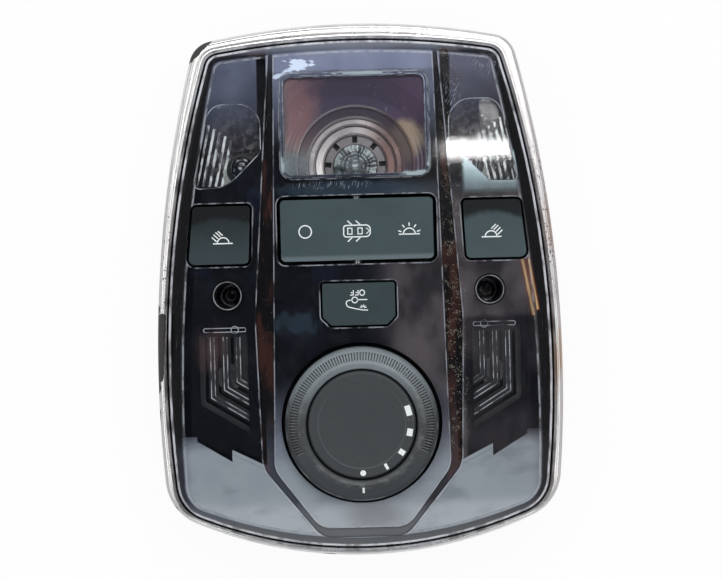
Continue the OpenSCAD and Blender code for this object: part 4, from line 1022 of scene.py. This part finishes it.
class StageSettings(bpy.types.PropertyGroup):
    """Camera and lights."""

    distance: length_setting("Camera distance", "Distance of the camera from the trim's plane",
                             0.5, 0.2, 3, 2)
    turn: bpy.props.FloatProperty(
        name="Camera turn", description="How far the object looks turned in the picture",
        default=math.radians(1.5), subtype="ANGLE")
    light: bpy.props.FloatProperty(
        name="Light", description="Strength of all the soft lights", default=1.0, min=0, max=5)


class LampOperator:
    """What the operators share."""

    bl_options = {"REGISTER", "UNDO"}


class ROOFLAMP_OT_stage(LampOperator, bpy.types.Operator):
    """Sets up the pale floor, the soft lights and the camera straight above"""

    bl_idname = "rooflamp.stage"
    bl_label = "Stage"

    def execute(self, context):
        scene = context.scene
        settings = scene.rooflamp_stage
        scene.view_settings.view_transform = "Standard"
        self.floor()
        self.world(scene, settings)
        # Size in X and Y, place, aim and radiance of each soft light
        panes = (((0.95, 0.55), (0.0, 0.60, 0.95), 3.4),
                 ((0.80, 0.30), (0.0, -0.44, 0.95), 2.0),
                 ((0.36, 0.80), (-0.56, 0.0, 0.88), 2.3),
                 ((0.36, 0.80), (0.56, 0.0, 0.88), 2.0))
        for number, (size, place, radiance) in enumerate(panes):
            self.pane(f"soft_light_{number}", size, place, (0, 0, 0.03), radiance * settings.light)
        # A narrow window whose image lies across the right reading lamp
        self.pane("window_light", (0.166, 0.0150), (0.168, 0.1385, 0.64), (0.168, 0.1385, 0.0), 50.0)
        # A soft light beneath, for views of the back; the floor is clear for it
        self.pane("light_below", (0.5, 0.5), (0.0, 0.0, -0.9), (0.0, 0.0, 0.0), 14.0)
        self.camera(scene, settings)
        return {"FINISHED"}

    def floor(self, half=4.0, height=-0.0003):
        """Pale paper, nearly white in the picture but for the shadow on it."""
        mesh = bpy.data.meshes.new("floor")
        mesh.from_pydata([(-half, -half, height), (half, -half, height),
                          (half, half, height), (-half, half, height)], [], [(0, 1, 2, 3)])
        floor = bpy.data.objects.new("floor", mesh)
        bpy.context.scene.collection.objects.link(floor)
        f = Finish("floor_paper")
        rays = f.node("ShaderNodeLightPath")
        shown = Value(f, rays.outputs["Is Camera Ray"]).most(Value(f, rays.outputs["Is Transmission Ray"]))
        paper = f.node("ShaderNodeBsdfDiffuse", {}, {"Color": (0.86, 0.86, 0.86, 1)})
        white = f.node("ShaderNodeEmission", {}, {"Color": (1, 1, 1, 1), "Strength": 1.0})
        mixed = f.node("ShaderNodeMixShader", {}, {0: shown * 0.94, 1: paper.outputs[0], 2: white.outputs[0]})
        # Clear from below, and for the light that reaches the unit's back through it
        facing = f.node("ShaderNodeNewGeometry")
        through = Value(f, facing.outputs["Backfacing"]).most(Value(f, rays.outputs["Is Shadow Ray"]))
        clear = f.node("ShaderNodeBsdfTransparent")
        both_sides = f.node("ShaderNodeMixShader", {}, {0: through, 1: mixed.outputs[0], 2: clear.outputs[0]})
        f.node("ShaderNodeOutputMaterial", {}, {"Surface": both_sides.outputs[0]})
        mesh.materials.append(f.material)

    def world(self, scene, settings):
        """White for what is seen, and a soft sky, darker overhead, for what lights and reflects."""
        scene.world = bpy.data.worlds.new("studio")
        n = Nodes(scene.world)
        place = n.node("ShaderNodeTexCoord")
        parts = n.node("ShaderNodeSeparateXYZ", {}, {0: place.outputs["Generated"]})
        overhead = Value(n, parts.outputs[2]).rise(0.25, 0.95)
        sky = n.blend(overhead, (0.55, 0.57, 0.60), (0.045, 0.05, 0.07))
        light = n.node("ShaderNodeBackground", {}, {"Color": sky, "Strength": settings.light})
        white = n.node("ShaderNodeBackground", {}, {"Color": (1, 1, 1, 1)})
        rays = n.node("ShaderNodeLightPath")
        mixed = n.node("ShaderNodeMixShader", {}, {0: rays.outputs["Is Camera Ray"], 1: light.outputs[0],
                                                   2: white.outputs[0]})
        n.node("ShaderNodeOutputWorld", {}, {"Surface": mixed.outputs[0]})

    def pane(self, name, size, place, aim, radiance):
        """A rectangular soft light, turned about X or Y to its aim. Its power is radiance times pi
        times its area."""
        lamp = bpy.data.lights.new(name, "AREA")
        lamp.shape = "RECTANGLE"
        lamp.size, lamp.size_y = size
        lamp.energy = radiance * math.pi * size[0] * size[1]
        held = bpy.data.objects.new(name, lamp)
        bpy.context.scene.collection.objects.link(held)
        held.location = place
        x, y, z = np.array(aim) - np.array(place)
        held.rotation_euler = (0, -math.atan2(x, -z), 0) if abs(x) > 1e-6 else (math.atan2(y, -z), 0, 0)
        held.visible_camera = False

    def camera(self, scene, settings):
        """Looks straight down, with the trim's plane as wide as the picture."""
        data = bpy.data.cameras.new("camera")
        data.sensor_width = 36.0
        data.lens = data.sensor_width * settings.distance / VIEW_WIDTH
        camera = bpy.data.objects.new("camera", data)
        scene.collection.objects.link(camera)
        camera.location = (VIEW_SHIFT, 0.0, settings.distance + TRIM_PLANE)
        camera.rotation_euler = (0, 0, -settings.turn)
        scene.camera = camera


class ROOFLAMP_OT_trim(LampOperator, bpy.types.Operator):
    """Makes the worn chrome bead round the front"""

    bl_idname = "rooflamp.trim"
    bl_label = "Chrome trim"

    def execute(self, context):
        settings = context.scene.rooflamp_trim
        piece("chrome_bead", [trim_ring(settings)], worn_chrome(settings),
              smooth_angle=50, node="chrome_trim")
        return {"FINISHED"}


class ROOFLAMP_OT_panel(LampOperator, bpy.types.Operator):
    """Makes the smoked front panel and the carrier behind it"""

    bl_idname = "rooflamp.panel"
    bl_label = "Smoked panel"

    def execute(self, context):
        settings = context.scene.rooflamp_panel
        panel = smooth_copy("front_panel", "smoked_front", smoked_panel(settings), 22)
        self.round_face(panel.data, settings)
        self.dress_back(panel.data, clear_back())
        dress(moulded_plastic("carrier_plastic", (0.0035, 0.004, 0.006), 0.4, dust=0.02, shine=0.05),
              "carrier_plastic", "lamp_carrier")
        return {"FINISHED"}

    def dress_back(self, mesh, material):
        """Gives the faces that look backwards their own finish."""
        mesh.materials.append(material)
        backwards = read(mesh.polygons, "normal")[:, 2] < -0.5
        mesh.polygons.foreach_set("material_index", backwards.astype(np.int32))

    def round_face(self, mesh, settings, near=0.0001, along=0.998):
        """Turns the normals of the domed face to the dome's own, straight out from its middle, where a
        corner lies near the dome and its face looks along them."""
        normals = read(mesh.corner_normals, "vector")
        points = read(mesh.vertices, "co")[read(mesh.loops, "vertex_index", 1, int)]
        flat = np.repeat(read(mesh.polygons, "normal"), read(mesh.polygons, "loop_total", 1, int), 0)
        out = points - [0, 0, settings.face_height - settings.crown_radius]
        reach = np.linalg.norm(out, axis=1)
        out = out / reach[:, None]
        on_face = (np.abs(reach - settings.crown_radius) < near) & ((out * flat).sum(1) > along)
        normals[on_face] = out[on_face]
        mesh.normals_split_custom_set(normals.tolist())


def read(rows, name, width=3, kind=float):
    """What every row of a mesh's collection holds under this name, as an array."""
    values = np.zeros(len(rows) * width, kind)
    rows.foreach_get(name, values)
    return values.reshape(-1, width) if width > 1 else values


class ROOFLAMP_OT_dome_lamp(LampOperator, bpy.types.Operator):
    """Makes the dome lamp: window, ringed mirror, bulb with its filament, and holder"""

    bl_idname = "rooflamp.dome_lamp"
    bl_label = "Dome lamp"

    def execute(self, context):
        dress(smoked_window(), "smoked_lens", "dome_lens")
        dress(dome_mirror(), "reflector", "dome_reflector")
        dress(bulb_glass("dome_glass", DOME_BULB, (0.27, 0.33, 0.37), 0.30), "bulb_glass", "dome_bulb")
        dress(bulb_glass("reading_glass", READING_BULB, (0.012, 0.014, 0.015), 0.80), "bulb_glass",
              *both("reading_bulb"))
        dress(swirled_holder(), "holder_plastic", "dome_bulb_holder")
        wire = plain_metal("filament_wire", (0.55, 0.50, 0.45))
        for bulb in ("dome_bulb", *both("reading_bulb")):
            piece(bulb.replace("bulb", "filament"), filament(bulb), wire)
        return {"FINISHED"}


def filament(bulb, post=1.5, coil_radius=0.35, turns=11):
    """A coiled wire between two posts, inside the bulb's glass: a helix along X."""
    low, high = node_box(bulb)
    middle = (low + high) / 2
    height = low[2] + (high[2] - low[2]) * 0.62
    turn = np.linspace(0, turns * 2 * math.pi, 180)
    coil = np.stack([middle[0] - post + 2 * post * turn / turn[-1],
                     middle[1] + coil_radius * np.cos(turn), height + coil_radius * np.sin(turn)], axis=1)
    parts = [tube(coil, 0.07, 6)]
    for side in (-1, 1):
        rise = np.linspace(low[2] + 0.6, height, 12)
        lean = side * (post + 0.25 * np.sin(np.linspace(0, math.pi, 12)))
        parts.append(tube(np.stack([middle[0] + lean, np.full(12, middle[1]), rise], axis=1), 0.14, 8))
    return parts


class ROOFLAMP_OT_reading_lamps(LampOperator, bpy.types.Operator):
    """Makes the two reading lamps: ribbed lenses, blotched bowls and holders"""

    bl_idname = "rooflamp.reading_lamps"
    bl_label = "Reading lamps"

    def execute(self, context):
        dress(ribbed_plastic(), "clear_lens", *both("reading_lens"))
        dress(reading_mirror(), "reflector", *both("reading_reflector"))
        dress(moulded_plastic("holder_plastic", (0.05, 0.05, 0.055), 0.4), "holder_plastic",
              *both("reading_bulb_holder"))
        return {"FINISHED"}


def rounded(corners, radii, steps=8):
    """A closed outline with every corner rounded to its own radius."""
    corners = np.asarray(corners, float)
    made = []
    for i, radius in enumerate(radii):
        here = corners[i]
        back, ahead = corners[i - 1] - here, corners[(i + 1) % len(corners)] - here
        back, ahead = back / np.hypot(*back), ahead / np.hypot(*ahead)
        half = math.acos(np.clip(back @ ahead, -1, 1)) / 2
        way = (back + ahead) / np.hypot(*(back + ahead))
        middle = here + way * radius / math.sin(half)
        first, last = (here + way_out * radius / math.tan(half) - middle for way_out in (back, ahead))
        start = math.atan2(first[1], first[0])
        sweep = (math.atan2(last[1], last[0]) - start + math.pi) % (2 * math.pi) - math.pi
        turn = start + sweep * np.linspace(0, 1, steps)
        made.append(middle + radius * np.stack([np.cos(turn), np.sin(turn)], axis=1))
    return np.concatenate(made)


def under_face(drop):
    """Height of the dome, lowered by drop, over points in the plane."""
    return lambda points: FACE_HEIGHT - (points[:, 0] ** 2 + points[:, 1] ** 2) / (2 * FACE_RADIUS) - drop


class ROOFLAMP_OT_bezels(LampOperator, bpy.types.Operator):
    """Makes the bright edges of the reading windows and the slots moulded over the louvres"""

    bl_idname = "rooflamp.bezels"
    bl_label = "Bezels behind the panel"

    def execute(self, context):
        shine = broken_edge("bezel_edge", (0.55, 0.60, 0.64))
        window = rounded([[46, 37.4], [58.2, 36.9], [51.6, 67], [33.6, 67], [33.6, 49.6]], [13, 2.2, 6, 8, 3])
        slot = rounded([[40.5, -14.1], [55.5, -14.1], [55.5, -12.7], [40.5, -12.7]], [0.6] * 4)
        low, high = under_face(3.05), under_face(2.75)
        for side, sign in SIDES:
            flip = [sign, 1]
            parts = [stroke(window * flip, 0.3, low, high, True), stroke(slot * flip, 0.22, low, high, True),
                     stroke(arc((44.4 * sign, -13.4), 1.3, 0, 345, 24), 0.2, low, high, True)]
            piece(f"bezel_{side}", parts, shine)
        return {"FINISHED"}


class ROOFLAMP_OT_map_keys(LampOperator, bpy.types.Operator):
    """Makes the two dished map light keys, their plungers and their printed symbols"""

    bl_idname = "rooflamp.map_keys"
    bl_label = "Map light keys"

    def execute(self, context):
        settings = context.scene.rooflamp_keys
        top = node_box("map_key_right")[1][2]
        plastic = key_plastic("map_key_plastic", settings.key_colour, top - 0.45, dark_from=26.6)
        ink = print_ink("map_key_print", settings.ink)
        for side, sign in SIDES:
            dress(plastic, "key_plastic", f"map_key_{side}")
            dress(moulded_plastic(f"plunger_{side}", (0.5, 0.5, 0.46)), "switch_plastic",
                  f"map_plunger_{side}")
            piece(f"map_key_print_{side}", map_symbol(settings, sign, top), ink,
                  f"{side}_map_button")
        return {"FINISHED"}


def map_symbol(settings, sign, top, dish_r=130.0, dish_y=20.2, half=10.3):
    """A half dome on a base line with four slanting rays, on a face that is dished along X."""
    line, lift = settings.line / MM, settings.print_height / MM

    def face(points):
        """Lowest along the middle of the dish, and as high as the key at half mm from it."""
        return top + math.sqrt(dish_r ** 2 - half ** 2) - np.sqrt(dish_r ** 2 - (points[:, 1] - dish_y) ** 2)

    def low(points):
        return face(points) - 0.05

    def high(points):
        return face(points) + lift

    heart = np.array([47.5, 17.35])
    parts = [stroke([[44.1, 17.35], [51.1, 17.35]], line, low, high),
             stroke(arc(heart, 2.1, 0, 180, 28), line, low, high)]
    for near, far in (((2.35, 0.75), (4.0, 2.3)), ((1.75, 1.75), (3.35, 3.25)),
                      ((0.95, 2.45), (2.6, 4.0)), ((0.1, 2.85), (1.75, 4.4))):
        parts.append(stroke([heart + near, heart + far], line * 0.95, low, high))
    for points, quads in parts:
        points[:, 0] *= sign
    return parts


class ROOFLAMP_OT_rocker(LampOperator, bpy.types.Operator):
    """Makes the three-way rocker with its ring, open-door and sun symbols, and its axle"""

    bl_idname = "rooflamp.rocker"
    bl_label = "Three-way rocker"

    def execute(self, context):
        settings = context.scene.rooflamp_keys
        top = node_box("mode_rocker")[1][2]
        dress(key_plastic("rocker_plastic", settings.key_colour, top, 0.40, pale_below=12.2),
              "key_plastic", "mode_rocker")
        dress(plain_metal("axle_steel", (0.6, 0.6, 0.6)), "steel", "rocker_axle")
        low, high, line = top - 0.05, top + settings.print_height / MM, settings.line / MM
        parts = [stroke(arc((-18.3, 20.7), 2.2, 0, 354, 60), line, low, high, True)]
        parts += car_from_above(low, high, line)
        sun = np.array([18.5, 19.0])
        parts += [stroke([[14.8, 19.0], [22.2, 19.0]], line, low, high),
                  stroke(arc(sun, 2.1, 0, 180, 28), line, low, high)]
        parts += ray_fan(sun, 2.9, 4.1, (18, 54, 90, 126, 162), line, low, high)
        piece("rocker_print", parts, print_ink("rocker_print", settings.ink), "mode_switch")
        return {"FINISHED"}


def car_from_above(low, high, line):
    """A car seen from above with its four doors open, in plain lines."""
    body = np.concatenate([arc((-3.7, 19.5), 1.0, 180, 270, 6), arc((3.2, 20.0), 1.5, 270, 360, 7),
                           arc((3.2, 21.1), 1.5, 0, 90, 7), arc((-3.7, 21.6), 1.0, 90, 180, 6)])
    parts = [stroke(body, line, low, high, True)]
    for x in (-2.5, 1.1):
        window = [[x - 0.75, 19.5], [x + 0.75, 19.5], [x + 0.75, 21.6], [x - 0.75, 21.6]]
        parts.append(stroke(window, line * 0.8, low, high, True))
    parts.append(stroke([[3.3, 19.5], [4.4, 20.55], [3.3, 21.6]], line * 0.7, low, high))
    for x in (-1.7, 1.2):
        for edge, out in ((22.75, 1.5), (18.35, -1.5)):
            parts.append(stroke([[x, edge], [x - 1.6, edge + out]], line, low, high))
    return parts


class ROOFLAMP_OT_monitor_key(LampOperator, bpy.types.Operator):
    """Makes the monitor key with its OFF and bonnet symbols, and its plunger"""

    bl_idname = "rooflamp.monitor_key"
    bl_label = "Monitor key"

    def execute(self, context):
        settings = context.scene.rooflamp_keys
        top = node_box("monitor_key")[1][2]
        plastic = key_plastic("monitor_plastic", times(settings.key_colour, 0.72), top)
        dress(plastic, "key_plastic", "monitor_key")
        dress(moulded_plastic("plunger_middle", (0.5, 0.5, 0.46)), "switch_plastic", "monitor_plunger")
        low, high, line = top - 0.05, top + settings.print_height / MM, settings.line / MM * 0.85
        parts = off_word(low, high, line) + bonnet(low, high, line)
        piece("monitor_print", parts, print_ink("monitor_print", settings.ink),
              "monitor_button")
        return {"FINISHED"}


def off_word(low, high, line, middle=(-0.5, -1.3), half=0.95):
    """The word OFF turned half round: an oval and two pairs of arms on upright stems."""
    x, y = middle
    oval = arc((0, 0), 1, 0, 350, 36) * [0.85, half] + [x + 1.75, y]
    parts = [stroke(oval, line, low, high, True)]
    for right in (x + 0.35, x - 1.35):
        parts.append(stroke([[right, y - half], [right, y + half]], line, low, high))
        for height, length in ((y - half + line / 2, 1.1), (y + 0.1, 0.85)):
            parts.append(stroke([[right, height], [right - length, height]], line, low, high))
    return parts


def bonnet(low, high, line):
    """A car's front from the side with a ring on its bonnet and a small burst below it."""
    parts = [stroke(arc((-1.4, -3.8), 1.0, 0, 352, 40), line, low, high, True),
             stroke([[-0.4, -3.75], [3.0, -3.75]], line, low, high),
             stroke([[-2.4, -3.8], [-3.7, -3.95], [-4.35, -4.35], [-4.45, -5.1], [-4.15, -5.9],
                     [-3.5, -6.3], [-0.6, -7.05], [1.4, -7.4], [3.2, -7.5]], line, low, high)]
    parts += ray_fan(np.array([1.5, -6.7]), 0.35, 1.25, (10, 48, 86, 124, 160), line * 0.8, low, high)
    return parts


class ROOFLAMP_OT_dial(LampOperator, bpy.types.Operator):
    """Makes the fluted dial ring, its centre cap, their white marks and the rotary switch"""

    bl_idname = "rooflamp.dial"
    bl_label = "Dial"

    def execute(self, context):
        settings = context.scene.rooflamp_keys
        dress(dial_plastic(settings), "dial_plastic", "dial_ring", "dial_cap")
        dress(moulded_plastic("rotary_plastic", (0.03, 0.03, 0.033)), "switch_plastic", "rotary_switch")
        ink = print_ink("dial_print", settings.ink)
        face, crest = node_box("dial_cap")[1][2], node_box("dial_ring")[1][2]
        lift = settings.print_height / MM
        low, high = face - 0.05, face + lift
        marks, index_place, crest_radius, fall = 16.9, 22.9, 21.53, 0.2526
        parts = [disc(self.around(marks, -90), 1.0, low, high)]
        # Direction from the dial's middle, length along its turn and width of each mark
        for degrees, along, across in ((-61, 1.0, 2.2), (-36, 1.9, 2.2), (-10.5, 2.6, 2.0), (15.5, 3.6, 2.0)):
            parts.append(tab(self.around(marks, degrees), along, across, degrees + 90, low, high))
        piece("dial_marks", parts, ink, "dial_centre")

        def shoulder(points):
            """The ring's face falls outwards of its crest, by this much for each mm."""
            radius = np.hypot(points[:, 0] - DIAL[0], points[:, 1] - DIAL[1])
            return crest - 0.02 - fall * (radius - crest_radius)

        index = tab(self.around(index_place, -90), 1.9, 0.75, 90, lambda p: shoulder(p) - 0.06,
                    lambda p: shoulder(p) + lift)
        piece("dial_index", [index], ink, "dial_knob")
        return {"FINISHED"}

    def around(self, radius, degrees):
        """The point of the dial at this radius and direction."""
        return DIAL + radius * heading(degrees)


class ROOFLAMP_OT_louvres(LampOperator, bpy.types.Operator):
    """Makes the slanted louvres, the bright edges of their bars and the capsules behind them"""

    bl_idname = "rooflamp.louvres"
    bl_label = "Louvres"

    def execute(self, context):
        dress(moulded_plastic("louvre_plastic", (0.030, 0.031, 0.034), 0.4, dust=0.05, shine=0.1),
              "carrier_plastic", *both("louvre"))
        dress(plain_metal("capsule_metal", (0.45, 0.45, 0.46)), "steel", *both("microphone"))
        edge = broken_edge("louvre_edge", (0.50, 0.53, 0.56))
        for side, sign in SIDES:
            piece(f"louvre_edges_{side}", self.edges(sign), edge)
        return {"FINISHED"}

    def edges(self, sign, bars=3, pitch=4.6, width=1.7, out_x=56.5, in_x=40.0, top_y=-16.0):
        """Two rounded edges on each bar: an upright leg, then a leg that slopes inwards."""
        top = node_box("louvre_right")[1][2]
        slope = math.tan(math.radians(31.3))
        parts = []
        for bar in range(bars):
            middle = out_x - width / 2 - 3 - bar * pitch
            for x in (middle - width / 2 + 0.15, middle + width / 2 - 0.15):
                bend = -39.5 + (out_x - x) * slope
                path = np.array([[x, top_y + 0.1], [x, bend], [in_x + 0.1, bend - (x - in_x) * slope]])
                parts.append(stroke(path * [sign, 1], 0.3, top - 0.1, top + 0.12))
        return parts


class ROOFLAMP_OT_screws(LampOperator, bpy.types.Operator):
    """Makes the captive screws with their rolled threads, and their collars"""

    bl_idname = "rooflamp.screws"
    bl_label = "Screws"

    def execute(self, context):
        steel = screw_steel()
        dress(steel, "steel", *both("screw"))
        dress(plain_metal("collar_steel", (0.42, 0.42, 0.43)), "steel", *both("screw_collar"))
        for name, screw in zip(both("screw_thread"), both("screw")):
            piece(name, [self.thread(screw)], steel)
        return {"FINISHED"}

    def thread(self, screw, pitch=1.25, radius=1.95, depth=0.32, length=9.0):
        """A ridge of triangular section, carried along a helix up the shank and fading out at its ends."""
        low, high = node_box(screw)
        middle = (low + high) / 2
        turns = length / pitch
        steps_per_turn = 36
        a = np.linspace(0, 2 * math.pi * turns, int(turns * steps_per_turn))
        z = low[2] + 1.4 + pitch * a / (2 * math.pi)
        fade = np.clip(np.minimum(a, a[-1] - a) / 2.0, 0.02, 1) * depth
        root = radius - 0.08
        section = ((root, -0.45), (root, 0.45), (radius + fade, 0.06), (radius + fade, -0.06))
        return closed_bar(np.stack([np.stack([middle[0] + r * np.cos(a), middle[1] + r * np.sin(a), z + dz],
                                             axis=1) for r, dz in section], axis=1))


class ROOFLAMP_OT_housing(LampOperator, bpy.types.Operator):
    """Makes the moulded back, its clips, the connector, the board and the switches"""

    bl_idname = "rooflamp.housing"
    bl_label = "Back and inner parts"

    def execute(self, context):
        dress(moulded_plastic("housing_plastic", (0.024, 0.024, 0.026), 0.55, grain=0.6, grain_depth=0.04,
                              dust=0.08), "housing_plastic", "rear_housing")
        dress(plain_metal("clip_steel", (0.58, 0.58, 0.56)), "steel", "roof_clips")
        dress(moulded_plastic("connector_plastic", (0.40, 0.35, 0.26)), "connector_plastic",
              "connector_shell")
        dress(plain_metal("contact_brass", (0.78, 0.62, 0.30), 0.22), "contact_brass", "connector_pins")
        dress(board_lacquer(), "board", "circuit_board")
        dress(moulded_plastic("switch_plastic", (0.05, 0.05, 0.055)), "switch_plastic",
              *both("map_switch"), "rocker_switch", "monitor_switch")
        return {"FINISHED"}


class ROOFLAMP_PT_panel(bpy.types.Panel):
    """Lists the steps that make the lamp, and their settings"""

    bl_idname = "ROOFLAMP_PT_panel"
    bl_label = "Roof Lamp"
    bl_space_type = "VIEW_3D"
    bl_region_type = "UI"
    bl_category = "Roof Lamp"

    def draw(self, context):
        for name, group in GROUPS:
            box = self.layout.box()
            for setting in group.__annotations__:
                box.prop(getattr(context.scene, name), setting)
        for step in STEPS:
            self.layout.operator(step.bl_idname)


GROUPS = (("rooflamp_trim", TrimSettings), ("rooflamp_panel", PanelSettings),
          ("rooflamp_keys", KeySettings), ("rooflamp_stage", StageSettings))
STEPS = (ROOFLAMP_OT_stage, ROOFLAMP_OT_trim, ROOFLAMP_OT_panel, ROOFLAMP_OT_dome_lamp,
         ROOFLAMP_OT_reading_lamps, ROOFLAMP_OT_bezels, ROOFLAMP_OT_map_keys, ROOFLAMP_OT_rocker,
         ROOFLAMP_OT_monitor_key, ROOFLAMP_OT_dial, ROOFLAMP_OT_louvres, ROOFLAMP_OT_screws,
         ROOFLAMP_OT_housing)


def register():
    for name, group in GROUPS:
        bpy.utils.register_class(group)
        setattr(bpy.types.Scene, name, bpy.props.PointerProperty(type=group))
    for made in (*STEPS, ROOFLAMP_PT_panel):
        bpy.utils.register_class(made)


def unregister():
    for made in (ROOFLAMP_PT_panel, *reversed(STEPS)):
        bpy.utils.unregister_class(made)
    for name, group in reversed(GROUPS):
        delattr(bpy.types.Scene, name)
        bpy.utils.unregister_class(group)


def main():
    register()
    for step in STEPS:
        family, name = step.bl_idname.split(".")
        getattr(getattr(bpy.ops, family), name)()


if __name__ == "__main__":
    main()
